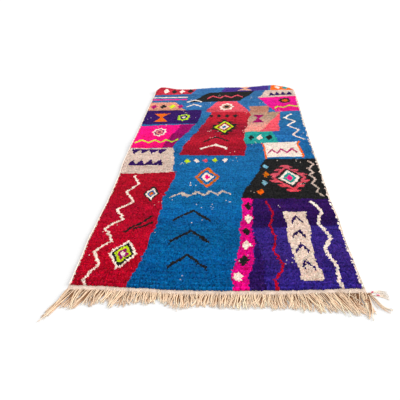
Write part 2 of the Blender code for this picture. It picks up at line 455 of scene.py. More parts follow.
@dataclass(frozen=True)
class Peaks:
    """A row of triangles on a thin bar, pointing down where their height is negative."""

    yarn: Yarn
    at: Pair
    length: float
    height: float
    count: int
    bar: float = 0.016

    def knot(self, chart: KnotChart) -> None:
        """Knot the triangles and their bar.

        Args:
            chart: The chart of the pile.
        """
        dx, dy = chart.x - self.at[0], (chart.y - self.at[1]) * np.sign(self.height)
        share = (dx / self.length + 0.5) * self.count
        top = abs(self.height) * (1.0 - np.abs(2.0 * (share - np.floor(share)) - 1.0))
        chart.lay((np.abs(dx) < self.length / 2) & (dy > -self.bar) & (dy < top), self.yarn)


@dataclass(frozen=True)
class Arrows:
    """A column of chevrons that take their yarns in turn."""

    yarns: tuple[Yarn, ...]
    at: Pair
    half_width: float
    rise: float
    pitch: float
    count: int
    width: float = 0.019

    def knot(self, chart: KnotChart) -> None:
        """Knot the chevrons.

        Args:
            chart: The chart of the pile.
        """
        dx = np.abs(chart.x - self.at[0])
        steep = math.hypot(1.0, self.rise / self.half_width)
        for index in range(self.count):
            middle = self.at[1] + index * self.pitch + self.rise * (1.0 - dx / self.half_width)
            near = np.abs(chart.y - middle) < self.width / 2 * steep
            chart.lay((dx < self.half_width) & near, self.yarns[index % len(self.yarns)])


@dataclass(frozen=True)
class Beads:
    """A row of small diamonds that take their yarns in turn."""

    yarns: tuple[Yarn, ...]
    at: Pair
    half: Pair
    step: Pair
    count: int

    def knot(self, chart: KnotChart) -> None:
        """Knot the diamonds.

        Args:
            chart: The chart of the pile.
        """
        for index in range(self.count):
            at = (self.at[0] + index * self.step[0], self.at[1] + index * self.step[1])
            dx, dy = chart.away(at, self.half)
            chart.lay(dx + dy < 1.0, self.yarns[index % len(self.yarns)])


Figure = Line | Lozenge | Hourglass | Star | Peaks | Arrows | Beads

# Places beyond the pile's edges, where a block runs off it
OFF_NEAR, OFF_FAR = -1.60, 1.70
OFF_LEFT, OFF_RIGHT = (-0.90, -0.90), (0.90, 0.90)


@dataclass(frozen=True)
class Plan:
    """A generic patchwork in traditional figures: the blocks first, then what is knotted on them."""

    blocks: tuple[Patch, ...] = (
        Patch(Yarn.COBALT, OFF_NEAR, OFF_FAR, OFF_LEFT, OFF_RIGHT),
        Patch(Yarn.MADDER, OFF_NEAR, -0.30, OFF_LEFT, (-0.44, -0.32), 0.03),
        Patch(Yarn.OAT, -0.30, 0.10, OFF_LEFT, (-0.34, -0.40), 0.03),
        Patch(Yarn.FUCHSIA, OFF_NEAR, -0.66, (0.10, 0.16), (0.19, 0.23)),
        Patch(Yarn.VIOLET, OFF_NEAR, -0.66, (0.19, 0.23), OFF_RIGHT),
        Patch(Yarn.PLUM, OFF_NEAR, -1.00, (0.19, 0.22), (0.30, 0.22)),
        Patch(Yarn.PLUM, -0.96, -0.66, (0.21, 0.23), OFF_RIGHT, 0.03),
        Patch(Yarn.LINEN, -1.36, -0.78, (0.43, 0.42), (0.55, 0.55), -0.05),
        Patch(Yarn.CHARCOAL, -0.66, -0.12, (0.16, 0.34), OFF_RIGHT, -0.02),
        Patch(Yarn.MADDER, -0.06, 0.80, (-0.34, -0.10), (0.18, 0.26), -0.04),
        Patch(Yarn.FUCHSIA, 0.10, 0.54, OFF_LEFT, (-0.40, -0.24), 0.02),
        Patch(Yarn.WINE, 0.10, 0.54, (-0.50, -0.36), (-0.40, -0.24), 0.02),
        Patch(Yarn.PLUM, 0.54, 0.86, OFF_LEFT, (-0.24, -0.20), -0.03),
        Patch(Yarn.CREAM, -0.12, 0.12, (0.34, 0.36), (0.64, 0.60), 0.04),
        Patch(Yarn.TEAL, 0.12, 0.34, (0.19, 0.21), (0.48, 0.42), 0.03),
        Patch(Yarn.PEACH, 0.34, 0.76, (0.21, 0.26), (0.48, 0.54), 0.03),
        Patch(Yarn.SALMON, 0.34, 0.76, (0.33, 0.54), (0.48, 0.54), 0.03),
        Patch(Yarn.WALNUT, 0.76, 0.92, (0.24, 0.24), (0.42, 0.46), 0.03),
        Patch(Yarn.SALMON, 0.80, 1.08, (-0.16, -0.06), (0.24, 0.12), -0.04),
        Patch(Yarn.FUCHSIA, 0.76, 1.16, (0.50, 0.36), OFF_RIGHT, 0.04),
        Patch(Yarn.PEACH, 0.86, 1.08, OFF_LEFT, (-0.38, -0.50), -0.03),
        Patch(Yarn.CHARCOAL, 1.08, 1.34, (-0.34, -0.16), (0.16, 0.34), 0.02),
        Patch(Yarn.MADDER, 1.32, OFF_FAR, OFF_LEFT, (-0.34, -0.22)),
        Patch(Yarn.OAT, 1.16, 1.34, (0.36, 0.44), OFF_RIGHT),
        Patch(Yarn.VIOLET, 1.34, OFF_FAR, (-0.04, 0.08), (0.46, 0.48), 0.02),
        Patch(Yarn.ORANGE, 1.34, OFF_FAR, (0.48, 0.52), OFF_RIGHT),
    )
    figures: tuple[Figure, ...] = (
        # Near left, on red
        Line(Yarn.CREAM, (-0.665, -1.50), (-0.590, -0.36), 0.016, 0.034, 11),
        Lozenge(
            (-0.510, -1.200),
            (0.082, 0.125),
            (Yarn.CREAM, Yarn.CHARCOAL, Yarn.LIME, Yarn.WINE, Yarn.CREAM),
        ),
        Line(Yarn.CHARCOAL, (-0.545, -1.010), (-0.415, -0.840), 0.017),
        Line(Yarn.CHARCOAL, (-0.500, -0.985), (-0.405, -0.905), 0.017),
        Lozenge((-0.445, -0.590), (0.062, 0.095), (Yarn.CHARCOAL, Yarn.CREAM, Yarn.COBALT, Yarn.ORANGE)),
        # Near middle, on blue
        Arrows((Yarn.CHARCOAL,), (-0.145, -1.310), 0.120, 0.110, 0.210, 3),
        Line(Yarn.OAT, (-0.300, -0.610), (0.080, -0.590), 0.016, 0.022, 8),
        Lozenge((-0.085, -0.390), (0.100, 0.140), (Yarn.ORANGE, Yarn.COBALT, Yarn.CREAM, Yarn.FUCHSIA)),
        Beads((Yarn.LIME, Yarn.CREAM, Yarn.SALMON), (-0.260, -0.155), (0.024, 0.040), (0.078, 0.004), 5),
        # Near right, on pink and purple
        Beads((Yarn.CREAM, Yarn.CHARCOAL), (0.148, -1.370), (0.027, 0.044), (0.0095, 0.125), 6),
        Arrows((Yarn.PLUM,), (0.490, -1.300), 0.038, 0.060, 0.130, 4, 0.017),
        Line(Yarn.MADDER, (0.330, -1.50), (0.340, -0.700), 0.014, 0.016, 7),
        Line(Yarn.CREAM, (0.650, -1.50), (0.610, -0.700), 0.018, 0.022, 7),
        # Middle right, on charcoal and cream
        Lozenge(
            (0.490, -0.410),
            (0.135, 0.165),
            (Yarn.SALMON, Yarn.CHARCOAL, Yarn.CREAM, Yarn.TEAL, Yarn.FUCHSIA),
            0.030,
        ),
        Beads((Yarn.ORANGE, Yarn.SKY), (0.300, -0.585), (0.022, 0.038), (0.012, 0.110), 4),
        Line(Yarn.OAT, (0.662, -0.650), (0.668, -0.170), 0.014, 0.016, 9),
        Line(Yarn.WINE, (0.370, -0.010), (0.600, 0.000), 0.016, 0.028, 6),
        Line(Yarn.ORANGE, (0.345, -0.130), (0.350, 0.130), 0.014),
        Line(Yarn.ORANGE, (0.640, -0.110), (0.610, 0.150), 0.014),
        # Middle left, on oat and wine
        Peaks(Yarn.PLUM, (-0.570, -0.190), 0.270, 0.075, 4),
        Peaks(Yarn.PLUM, (-0.585, 0.045), 0.250, -0.070, 4),
        Line(Yarn.LIME, (-0.730, 0.205), (-0.360, 0.220), 0.016, 0.026, 7),
        Star((-0.550, 0.385), (0.070, 0.090), (Yarn.CREAM, Yarn.WINE, Yarn.PEACH, Yarn.WINE)),
        # Centre, on red
        Arrows((Yarn.CREAM, Yarn.CHARCOAL), (-0.050, 0.050), 0.100, 0.080, 0.130, 2),
        Lozenge(
            (0.020, 0.460),
            (0.115, 0.150),
            (Yarn.CHARCOAL, Yarn.LIME, Yarn.MADDER, Yarn.CREAM, Yarn.COBALT),
            0.026,
        ),
        Beads((Yarn.CHARCOAL,), (-0.110, 0.705), (0.026, 0.040), (0.080, -0.003), 4),
        # Right, on blue, peach and teal
        Line(Yarn.CREAM, (0.630, 0.180), (0.600, 0.720), 0.018, 0.040, 6),
        Hourglass(Yarn.WINE, (0.325, 0.620), (0.045, 0.090)),
        Beads((Yarn.CHARCOAL, Yarn.CREAM), (0.260, 0.235), (0.028, 0.050), (0.072, 0.000), 3),
        # Left, on plum and blue
        Hourglass(Yarn.ORANGE, (-0.570, 0.700), (0.062, 0.090)),
        Star((-0.370, 0.690), (0.056, 0.080), (Yarn.LIME, Yarn.PLUM, Yarn.CREAM)),
        Arrows((Yarn.CREAM,), (-0.290, 0.960), 0.080, 0.060, 0.120, 2),
        Beads((Yarn.WINE, Yarn.CHARCOAL, Yarn.LIME), (-0.690, 0.980), (0.034, 0.060), (0.085, -0.002), 4),
        Line(Yarn.CREAM, (-0.800, 1.240), (-0.380, 1.230), 0.026),
        Line(Yarn.FUCHSIA, (-0.800, 1.175), (-0.380, 1.165), 0.030),
        # Far end
        Star((0.030, 0.935), (0.066, 0.095), (Yarn.CREAM, Yarn.WALNUT, Yarn.CHARCOAL)),
        Line(Yarn.LIME, (0.500, 0.880), (0.730, 0.920), 0.018, 0.022, 5),
        Star((0.600, 1.055), (0.058, 0.075), (Yarn.CHARCOAL, Yarn.ORANGE)),
        Line(Yarn.SALMON, (-0.170, 1.200), (0.200, 1.220), 0.020, 0.032, 6),
        Peaks(Yarn.PLUM, (0.580, 1.215), 0.240, 0.080, 4),
        Beads((Yarn.CREAM, Yarn.CHARCOAL), (-0.640, 1.405), (0.036, 0.055), (0.095, 0.0), 4),
        Hourglass(Yarn.PEACH, (0.230, 1.425), (0.075, 0.055)),
        Beads((Yarn.CREAM, Yarn.TEAL), (0.560, 1.415), (0.034, 0.050), (0.085, -0.004), 3),
    )
    seed: int = 23
    left_margins: tuple[int, ...] = (0, 0, 1, 1)
    right_margins: tuple[int, ...] = (0, 1, 1, 2)
    fleck_clusters: int = 64
    cluster_size: int = 4
    cluster_reach: int = 3
    bareness: Pair = (0.25, 0.9)

    def knot(self, chart: KnotChart) -> None:
        """Knot the plan, then the undyed margins and the flecks where the foundation shows through.

        Args:
            chart: The chart of the pile.
        """
        for part in (*self.blocks, *self.figures):
            part.knot(chart)
        chance = np.random.default_rng(self.seed)
        held = held_rows(chart.rows, chance)
        margins = (self.left_margins, self.right_margins)
        left, right = (chance.choice(widths, chart.rows)[held] for widths in margins)
        column = np.arange(chart.columns)[None, :]
        chart.lay((column < left[:, None]) | (column >= chart.columns - right[:, None]), Yarn.CREAM)
        reach = self.cluster_reach
        for _ in range(self.fleck_clusters):
            row = int(chance.integers(reach + 1, chart.rows - reach - 1))
            column = int(chance.integers(reach + 1, chart.columns - reach - 1))
            for _ in range(int(chance.integers(1, self.cluster_size + 1))):
                step = chance.integers(-reach, reach + 1, size=2)
                chart.bare[row + step[0], column + step[1]] = chance.uniform(*self.bareness)


def add_node(tree: Tree, kind: str, feeds: dict[int | str, Socket | float], **settings: str | Tree) -> Node:
    """Add a node to a tree and feed its inputs.

    Args:
        tree: The tree.
        kind: The node's type.
        feeds: What its inputs take, each another node's output or a plain number.
        settings: Its other values.

    Returns:
        The node.
    """
    node = tree.nodes.new(kind)
    for name, value in settings.items():
        setattr(node, name, value)
    for socket, source in feeds.items():
        if isinstance(source, Socket):
            tree.links.new(source, node.inputs[socket])
        else:
            node.inputs[socket].default_value = source
    return node


def maths(tree: Tree, operation: str, *sources: Socket | float) -> Socket:
    """Return the output of a new maths node that works on sockets or plain numbers."""
    return add_node(tree, "ShaderNodeMath", dict(enumerate(sources)), operation=operation).outputs[0]


def start_group(name: str, takes: dict[str, str]) -> Tree:
    """Start a node group that puts out a colour and a height.

    Args:
        name: Its name.
        takes: Its inputs, each with its kind.

    Returns:
        The group.
    """
    tree = bpy.data.node_groups.new(name, "ShaderNodeTree")
    for way, sockets in (("INPUT", takes), ("OUTPUT", {"Colour": "Color", "Height": "Float"})):
        for socket, kind in sockets.items():
            tree.interface.new_socket(socket, in_out=way, socket_type=f"NodeSocket{kind}")
    return tree


def end_group(tree: Tree, colour: Socket, tone: Socket, height: Socket) -> None:
    """Put out the colour that a group was given, darker or lighter by a tone, and its height."""
    tinted = add_node(tree, "ShaderNodeVectorMath", {0: colour, "Scale": tone}, operation="SCALE")
    add_node(tree, "NodeGroupOutput", {"Colour": tinted.outputs["Vector"], "Height": height})


def wool_fibres() -> Tree:
    """Build the node group that gives wool its fibres and clouds of tone.

    Returns:
        The group, which is made on first use and then shared.
    """
    name, roughness = "wool_fibres", 0.65
    if name in bpy.data.node_groups:
        return bpy.data.node_groups[name]
    sizes = dict.fromkeys(("Fibre Scale", "Fibre Contrast", "Cloud Scale", "Cloud Contrast"), "Float")
    tree = start_group(name, {"Colour": "Color", **sizes})
    given = tree.nodes.new("NodeGroupInput").outputs
    place = tree.nodes.new("ShaderNodeTexCoord").outputs["Object"]
    noises, tones = [], []
    for effect, detail in (("Fibre", 3.0), ("Cloud", 4.0)):
        feeds = {"Vector": place, "Scale": given[f"{effect} Scale"], "Detail": detail, "Roughness": roughness}
        noises.append(add_node(tree, "ShaderNodeTexNoise", feeds).outputs["Fac"])
        centred = maths(tree, "MULTIPLY_ADD", noises[-1], 2.0, -1.0)
        tones.append(maths(tree, "MULTIPLY_ADD", centred, given[f"{effect} Contrast"], 1.0))
    end_group(tree, given["Colour"], maths(tree, "MULTIPLY", *tones), noises[0])
    return tree


def twisted_plies() -> Tree:
    """Build the node group that twists a yarn's two plies around each other, with grooves between them,
    darkened by painted shade.

    Returns:
        The group, which is made on first use and then shared.
    """
    name, roundness, painted_groove_shade, contrast = "twisted_plies", 0.6, 0.64, 0.42
    if name in bpy.data.node_groups:
        return bpy.data.node_groups[name]
    tree = start_group(name, {"Colour": "Color", "Turn": "Vector", "Twist": "Float"})
    given = tree.nodes.new("NodeGroupInput").outputs
    turn = add_node(tree, "ShaderNodeSeparateXYZ", {0: given["Turn"]}).outputs
    angle = maths(tree, "MULTIPLY", turn["Z"], given["Twist"])
    first = maths(tree, "MULTIPLY", turn["Y"], maths(tree, "COSINE", angle))
    second = maths(tree, "MULTIPLY", turn["X"], maths(tree, "SINE", angle))
    height = maths(tree, "POWER", maths(tree, "ABSOLUTE", maths(tree, "ADD", first, second)), roundness)
    # Painted shade: the colour darkens in the grooves between the plies
    tone = maths(tree, "ADD", maths(tree, "MULTIPLY", height, contrast), painted_groove_shade)
    end_group(tree, given["Colour"], tone, height)
    return tree


@dataclass(frozen=True)
class WoolFinish:
    """Matt wool whose colour comes from the piece's own colour attribute."""

    name: str
    roughness: float = 0.92
    gloss: float = 0.03
    sheen: float = 0.09
    sheen_roughness: float = 0.30
    fibre_scale: float = 420.0
    fibre_contrast: float = 0.34
    cloud_scale: float = 17.0
    cloud_contrast: float = 0.22
    bump_depth: float = 0.0012
    bump_strength: float = 0.55
    twist: float = 0.0
    groove_depth: float = 0.0016
    groove_strength: float = 0.9

    def material(self) -> bpy.types.Material:
        """Build the finish.

        Returns:
            A material that shades the yarn colour with fibres, clouds of tone and, where it twists, plies.
        """
        material = bpy.data.materials.new(self.name)
        material.use_nodes = True
        tree = material.node_tree
        yarn = add_node(tree, "ShaderNodeAttribute", {}, attribute_name=COLOUR_LAYER)
        feeds = {
            "Colour": yarn.outputs["Color"],
            "Fibre Scale": self.fibre_scale,
            "Fibre Contrast": self.fibre_contrast,
            "Cloud Scale": self.cloud_scale,
            "Cloud Contrast": self.cloud_contrast,
        }
        wool = add_node(tree, "ShaderNodeGroup", feeds, node_tree=wool_fibres()).outputs
        feeds = {"Strength": self.bump_strength, "Distance": self.bump_depth, "Height": wool["Height"]}
        normal = add_node(tree, "ShaderNodeBump", feeds).outputs["Normal"]
        if self.twist:
            turn = add_node(tree, "ShaderNodeAttribute", {}, attribute_name=TWIST_LAYER)
            feeds = {"Colour": wool["Colour"], "Turn": turn.outputs["Vector"], "Twist": self.twist}
            wool = add_node(tree, "ShaderNodeGroup", feeds, node_tree=twisted_plies()).outputs
            feeds = {"Strength": self.groove_strength, "Distance": self.groove_depth, "Normal": normal}
            normal = add_node(tree, "ShaderNodeBump", {**feeds, "Height": wool["Height"]}).outputs["Normal"]
        shader = tree.nodes["Principled BSDF"].inputs
        shader["Roughness"].default_value = self.roughness
        shader["Specular IOR Level"].default_value = self.gloss
        shader["Sheen Weight"].default_value = self.sheen
        shader["Sheen Roughness"].default_value = self.sheen_roughness
        tree.links.new(wool["Colour"], shader["Base Color"])
        tree.links.new(normal, shader["Normal"])
        return material


def new_piece(name: str, bm: bmesh.types.BMesh, material: bpy.types.Material) -> Piece:
    """Turn a bmesh into a piece that rides on the rug.

    Args:
        name: The piece's name.
        bm: The mesh, which is freed.
        material: Its finish.

    Returns:
        The piece.
    """
    mesh = bpy.data.meshes.new(name)
    bm.to_mesh(mesh)
    bm.free()
    mesh.materials.append(material)
    mesh.shade_smooth()
    piece = bpy.data.objects.new(name, mesh)
    bpy.context.scene.collection.objects.link(piece)
    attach(piece, BODY)
    LOG.info("%s: %d faces", name, len(mesh.polygons))
    return piece


@dataclass
class PlainColours:
    """One undyed yarn with a tone for each corner of a sheet."""

    colour: Colour
    tones: Array

    def at(self, row: Array, column: Array) -> Array:
        """Return the linear colours at the corners of cells, by the corners' rows and columns."""
        return linear(self.colour)[None, None, :] * self.tones[row, column][:, :, None]


@dataclass
class KnotColours:
    """Each knot's linear colour, and a tone for each corner, such as painted shade, which pale yarns show
    less.
    """

    knots: Array
    tones: Array
    cells: int
    paleness: float = 0.5

    def at(self, row: Array, column: Array) -> Array:
        """Return the linear colours at the corners of cells, by the corners' rows and columns."""
        yarn = self.knots[row.min(axis=1) // self.cells, column.min(axis=1) // self.cells][:, None, :]
        return yarn * self.tones[row, column][:, :, None] ** (1.0 - self.paleness * np.sqrt(yarn))


def new_sheet(
    name: str,
    places: Array,
    colours: PlainColours | KnotColours,
    material: bpy.types.Material,
    downward: bool = False,
) -> Piece:
    """Build a piece from a rectangular grid of cells.

    Args:
        name: The piece's name.
        places: Where its corners lie, as rows by columns by 3.
        colours: The colours of its corners.
        material: Its finish.
        downward: Whether its faces look down.

    Returns:
        The piece.
    """
    rows, columns = (size - 1 for size in places.shape[:2])
    bm = bmesh.new()
    bmesh.ops.create_grid(bm, x_segments=columns, y_segments=rows, size=0.5)
    if downward:
        bmesh.ops.reverse_faces(bm, faces=bm.faces[:])
    piece = new_piece(name, bm, material)
    mesh = piece.data
    flat = np.empty(len(mesh.vertices) * 3, dtype=np.float32)
    mesh.vertices.foreach_get("co", flat)
    flat = flat.reshape(-1, 3)
    column = np.rint((flat[:, 0] + 0.5) * columns).astype(int)
    row = np.rint((flat[:, 1] + 0.5) * rows).astype(int)
    mesh.vertices.foreach_set("co", places[row, column].astype(np.float32).ravel())
    corner = np.empty(len(mesh.loops), dtype=np.int32)
    mesh.loops.foreach_get("vertex_index", corner)
    corner = corner.reshape(-1, 4)
    shade = np.ones((len(corner), 4, 4), dtype=np.float32)
    shade[:, :, :3] = colours.at(row[corner], column[corner])
    layer = mesh.attributes.new(COLOUR_LAYER, "FLOAT_COLOR", "CORNER")
    layer.data.foreach_set("color", shade.ravel())
    mesh.update()
    return piece


@dataclass(frozen=True)
class DyesAndPaintedLight:
    """How the knots' colours vary: by dye lot, along a row and from knot to knot, with painted light and
    sheen.
    """

    seed: int = 3
    lot_rows: int = 24
    lot_tints: Colour = (0.16, 0.06, 0.05)
    lot_tone: float = 0.10
    row_tone: float = 0.06
    near_row_tone: float = 2.5
    near_rows: float = 9.0
    weft_runs: tuple[tuple[int, float], ...] = ((4, 0.06), (13, 0.05))
    streaks: tuple[tuple[int, int, float], ...] = ((1, 12, 0.11), (2, 5, 0.10), (3, 20, 0.08))
    streak_gains: Pair = (0.6, 1.3)
    pair_tone: float = 0.07
    knot_tone: float = 0.23
    # Painted light along the pile: darker at the near end, lighter in the middle and more so at the far end
    near_painted_light: float = 0.80
    middle_painted_light: float = 1.05
    far_painted_light: float = 0.18
    tone_limits: Pair = (0.35, 1.70)
    paleness: float = 0.72
    knot_tints: Colour = (0.17, 0.06, 0.06)
    tint_limits: Pair = (0.4, 1.0)
    # Painted sheen: the far end is washed paler and greyer
    painted_far_sheen: float = 0.03
    # Painted sheen specks: whitish light added to each knot at random, and its most
    painted_sheen_specks: Pair = (0.0008, 0.003)
    most_painted_sheen_specks: float = 0.02
    brightest: float = 0.98

    def knot_colours(self, chart: KnotChart) -> Array:
        """Work out the linear colour of every knot.

        Args:
            chart: The chart of the pile.

        Returns:
            Rows by columns by 3.
        """
        chance = np.random.default_rng(self.seed)
        uneven = np.array([UNEVEN_DYES.get(yarn, 1.0) for yarn in YARNS])
        painted_far_sheen = np.array([PAINTED_FAR_SHEEN.get(yarn, self.painted_far_sheen) for yarn in YARNS])
        share = np.arange(chart.rows)[:, None] / chart.rows
        colours = np.array([linear(yarn.value) for yarn in YARNS])[chart.yarn]
        colours = colours * (1.0 + self.lots(chart, uneven, chance))
        tone = self.tones(chart, chance)[:, :, None]
        colours = colours * tone ** (1.0 - self.paleness * np.sqrt(colours))
        tints = chance.normal(0.0, 1.0, colours.shape) * np.array(self.knot_tints)
        colours = colours * (1.0 + tints * np.clip(uneven, *self.tint_limits)[chart.yarn][:, :, None])
        colours = blend(colours, linear(Yarn.CREAM.value), chart.bare[:, :, None])
        # Painted sheen: the far rows are washed paler, towards each knot's grey
        painted_sheen_wash = painted_far_sheen[chart.yarn] * share**2
        colours = colours + painted_sheen_wash[:, :, None] * colours.mean(axis=2, keepdims=True)
        # Painted sheen specks: a little whitish light added to each knot at random
        painted_sheen_specks = np.clip(chance.normal(*self.painted_sheen_specks, (chart.rows, chart.columns, 1)), 0.0, self.most_painted_sheen_specks)
        colours = np.maximum(colours, 0.0) + painted_sheen_specks
        return colours / np.maximum(colours.max(axis=2, keepdims=True) / self.brightest, 1.0)

    def lots(self, chart: KnotChart, uneven: Array, chance: Chance) -> Array:
        """Work out how the yarns' colours drift from one dye lot to the next.

        Args:
            chart: The chart of the pile.
            uneven: How uneven each yarn's dye is.
            chance: The source of random numbers.

        Returns:
            The drift of each knot's red, green and blue.
        """
        rows = np.arange(chart.rows)
        marks = np.arange(0, chart.rows + self.lot_rows, self.lot_rows)
        lots = chance.normal(0.0, 1.0, (len(YARNS), 3, len(marks))) * np.array(self.lot_tints)[None, :, None]
        lots = (lots + chance.normal(0.0, self.lot_tone, (len(YARNS), 1, len(marks)))) * uneven[:, None, None]
        lots = np.array([[np.interp(rows, marks, channel) for channel in yarn] for yarn in lots])
        return lots[chart.yarn, :, rows[:, None]]

    def tones(self, chart: KnotChart, chance: Chance) -> Array:
        """Work out how light or dark each knot is, with painted light that is darker near and lighter far.

        Args:
            chart: The chart of the pile.
            chance: The source of random numbers.

        Returns:
            The tone of each knot, 1 being the yarn's own.
        """
        rows = np.arange(chart.rows)
        weft = chance.normal(0.0, self.row_tone, chart.rows)
        weft = weft * (1.0 + self.near_row_tone * np.exp(-rows / self.near_rows))
        for run, strength in self.weft_runs:
            marks = np.arange(0, chart.rows + run, run)
            weft = weft + np.interp(rows, marks, chance.normal(0.0, strength, len(marks)))
        drift = weft[:, None] + sum(self.streak(chart, chance, *sizes) for sizes in self.streaks)
        tone = 1.0 + drift * chance.uniform(*self.streak_gains, len(YARNS))[chart.yarn]
        grain = chance.normal(0.0, 1.0, chart.yarn.shape)
        pairs = self.pair_tone * (grain + np.roll(grain, 1, axis=1))
        tone *= 1.0 + pairs + chance.normal(0.0, self.knot_tone, grain.shape)
        share = rows[:, None] / chart.rows
        # Painted light: the near rows are darkened and the far rows lightened
        tone *= blend(self.near_painted_light, self.middle_painted_light, np.sqrt(share)) + self.far_painted_light * share**2
        return np.clip(tone, *self.tone_limits)

    def streak(self, chart: KnotChart, chance: Chance, along: int, across: int, size: float) -> Array:
        """Work out how the tone drifts where one length of wool runs out and the next begins.

        Args:
            chart: The chart of the pile.
            chance: The source of random numbers.
            along: How many rows a streak lasts.
            across: How many knots lie between its changes.
            size: How strong it is.

        Returns:
            The drift of each knot.
        """
        marks = np.arange(0, chart.columns + across, across)
        lines = chance.normal(0.0, size, (chart.rows // along + 1, len(marks)))
        drift = np.array([np.interp(np.arange(chart.columns), marks, line) for line in lines])
        return np.repeat(drift, along, axis=0)[: chart.rows]


@dataclass
class KnottedPile:
    """The cut wool pile, a relief of tufts that lean towards the fringe, and its woven back.

    Each knot is two cells by two. The rises are shares of the relief, and of each two rises or leans the
    first is for the groove beside a knot and the second for its crown.
    """

    outline: Outline
    columns: int = 212
    rows: int = 340
    cells: int = 2
    strips: tuple[str, ...] = ("pile_near", "pile_middle", "pile_beyond", "pile_far")
    height: float = 0.0122
    rim: float = 0.0090
    tuck: float = 0.0009
    relief: float = 0.0021
    rise_across: Pair = (-0.55, 0.55)
    rise_along: Pair = (-0.95, 0.75)
    lean: Pair = (0.0, -0.0009)
    knot_sizes: Pair = (0.35, 1.30)
    roughness: float = 0.45
    low_rise: float = -1.5
    low_share: float = 0.08
    low_share_near: float = 0.22
    near_rows: float = 7.0
    side_bulge: Pair = (0.0012, 0.0045)
    end_bulge: Pair = (0.0038, 0.0042)
    ragged: float = 0.0012
    ragged_ends: float = 1.6
    stray: float = 0.00055
    # Painted shade of each corner: a base tone, its change with the rise, its limits and the rim's darkening
    tone: float = 0.86
    painted_shade_rise: float = 0.22
    tone_limits: Pair = (0.24, 1.20)
    rim_painted_shade: float = 0.78
    back_height: float = 0.0006
    back_tone: float = 0.82
    seed: int = 4
    dyes_and_painted_light: DyesAndPaintedLight = DyesAndPaintedLight()
    finish: WoolFinish = WoolFinish("knotted_wool")
    back_finish: WoolFinish = WoolFinish("woven_back_wool", fibre_scale=600.0, bump_depth=0.0008)

    def bumps(self, chance: Chance, held: tuple[Array, Array]) -> Array:
        """Work out the rise of every corner, with some knots low.

        Args:
            chance: The source of random numbers.
            held: The knot that each row and column of corners belongs to.

        Returns:
            The rises.
        """
        crown = [np.arange(index.size) % self.cells for index in held]
        rise = np.array(self.rise_across)[crown[1]][None, :] + np.array(self.rise_along)[crown[0]][:, None]
        size = chance.uniform(*self.knot_sizes, (self.rows + 1, self.columns + 1))
        near = np.exp(-np.arange(self.rows + 1) / self.near_rows)[:, None]
        low = self.low_rise * (chance.uniform(size=size.shape) < self.low_share + self.low_share_near * near)
        return rise * size[held] + low[held] + chance.normal(0.0, self.roughness, rise.shape)

    def relief_arrays(self) -> tuple[Array, Array]:
        """Place every corner of the pile.

        Returns:
            The corners, and each one's painted shade, darker in grooves and on the rim, lighter on crowns.
        """
        chance = np.random.default_rng(self.seed)
        nx, ny = self.columns * self.cells, self.rows * self.cells
        i, j = np.arange(nx + 1), np.arange(ny + 1)
        x, y = self.outline.place((i / nx)[None, :], (j / ny)[:, None])
        lift = self.outline.lift(x, y)
        held = np.ix_(j // self.cells, i // self.cells)
        bump = self.bumps(chance, held)
        edge_x = np.minimum(i, nx - i)[None, :] * self.outline.width / nx
        edge_y = np.minimum(j, ny - j)[:, None] * self.outline.length / ny
        away = np.minimum(np.minimum(edge_x, edge_y) / self.rim, 1.0)
        round_off = np.sqrt(1.0 - (1.0 - away) ** 2)
        z = self.tuck + (self.height + bump * self.relief) * round_off
        swell, peak = self.side_bulge
        side = np.sign(i - nx / 2)[None, :] * np.exp(-((edge_x / peak - 1.0) ** 2)) * swell
        swell, peak = self.end_bulge
        end = np.sign(j - ny / 2)[:, None] * np.exp(-((edge_y / peak - 1.0) ** 2)) * swell
        ragged = chance.normal(0.0, self.ragged, (self.rows + 1, self.columns + 1))[held]
        side = side + ragged * (away < 1.0) * (edge_x < edge_y)
        end = end + self.ragged_ends * ragged * (away < 1.0) * (edge_y <= edge_x)
        inner = round_off > 0.0
        x = x + side + np.where(inner, chance.normal(0.0, self.stray, x.shape), 0.0)
        lean = np.array(self.lean)[j % self.cells][:, None]
        y = y + end + np.where(inner, lean + chance.normal(0.0, self.stray, y.shape), 0.0)
        # Painted shade: corners darken with their groove's depth, on low knots and over the rounded rim, and
        # crowns lighten
        tones = np.clip(self.tone + self.painted_shade_rise * bump, *self.tone_limits)
        return np.dstack([x, y, z + lift]), tones * blend(self.rim_painted_shade, 1.0, round_off)

    def build(self) -> list[Piece]:
        """Build the pile in strips, from the near end to the far end, and its back.

        Returns:
            The pieces, the back last.
        """
        chart = KnotChart(self.columns, self.rows, self.outline)
        Plan().knot(chart)
        colours = self.dyes_and_painted_light.knot_colours(chart)
        places, tones = self.relief_arrays()
        material = self.finish.material()
        pieces = []
        cuts = np.linspace(0, self.rows, len(self.strips) + 1).round().astype(int)
        for name, first, last in zip(self.strips, cuts, cuts[1:]):
            corners = slice(first * self.cells, last * self.cells + 1)
            knots = KnotColours(colours[first:last], tones[corners], self.cells)
            pieces.append(new_sheet(name, places[corners], knots, material))
        pieces.append(self.build_back(colours))
        for piece in pieces:
            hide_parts("pile_field")
        return pieces

    def build_back(self, colours: Array) -> Piece:
        """Build the woven back, which shows the same knots from below.

        Args:
            colours: The linear colour of every knot.

        Returns:
            The piece.
        """
        i, j = np.arange(self.columns + 1), np.arange(self.rows + 1)
        x, y = self.outline.place((i / self.columns)[None, :], (j / self.rows)[:, None])
        inner = ((i > 0) & (i < self.columns))[None, :] & ((j > 0) & (j < self.rows))[:, None]
        level = np.where((i[None, :] + j[:, None]) % 2 * inner, self.back_height, self.tuck)
        places = np.dstack([x, y, self.outline.lift(x, y) + level])
        knots = KnotColours(colours, np.full(x.shape, self.back_tone), 1)
        return new_sheet("woven_back", places, knots, self.back_finish.material(), downward=True)


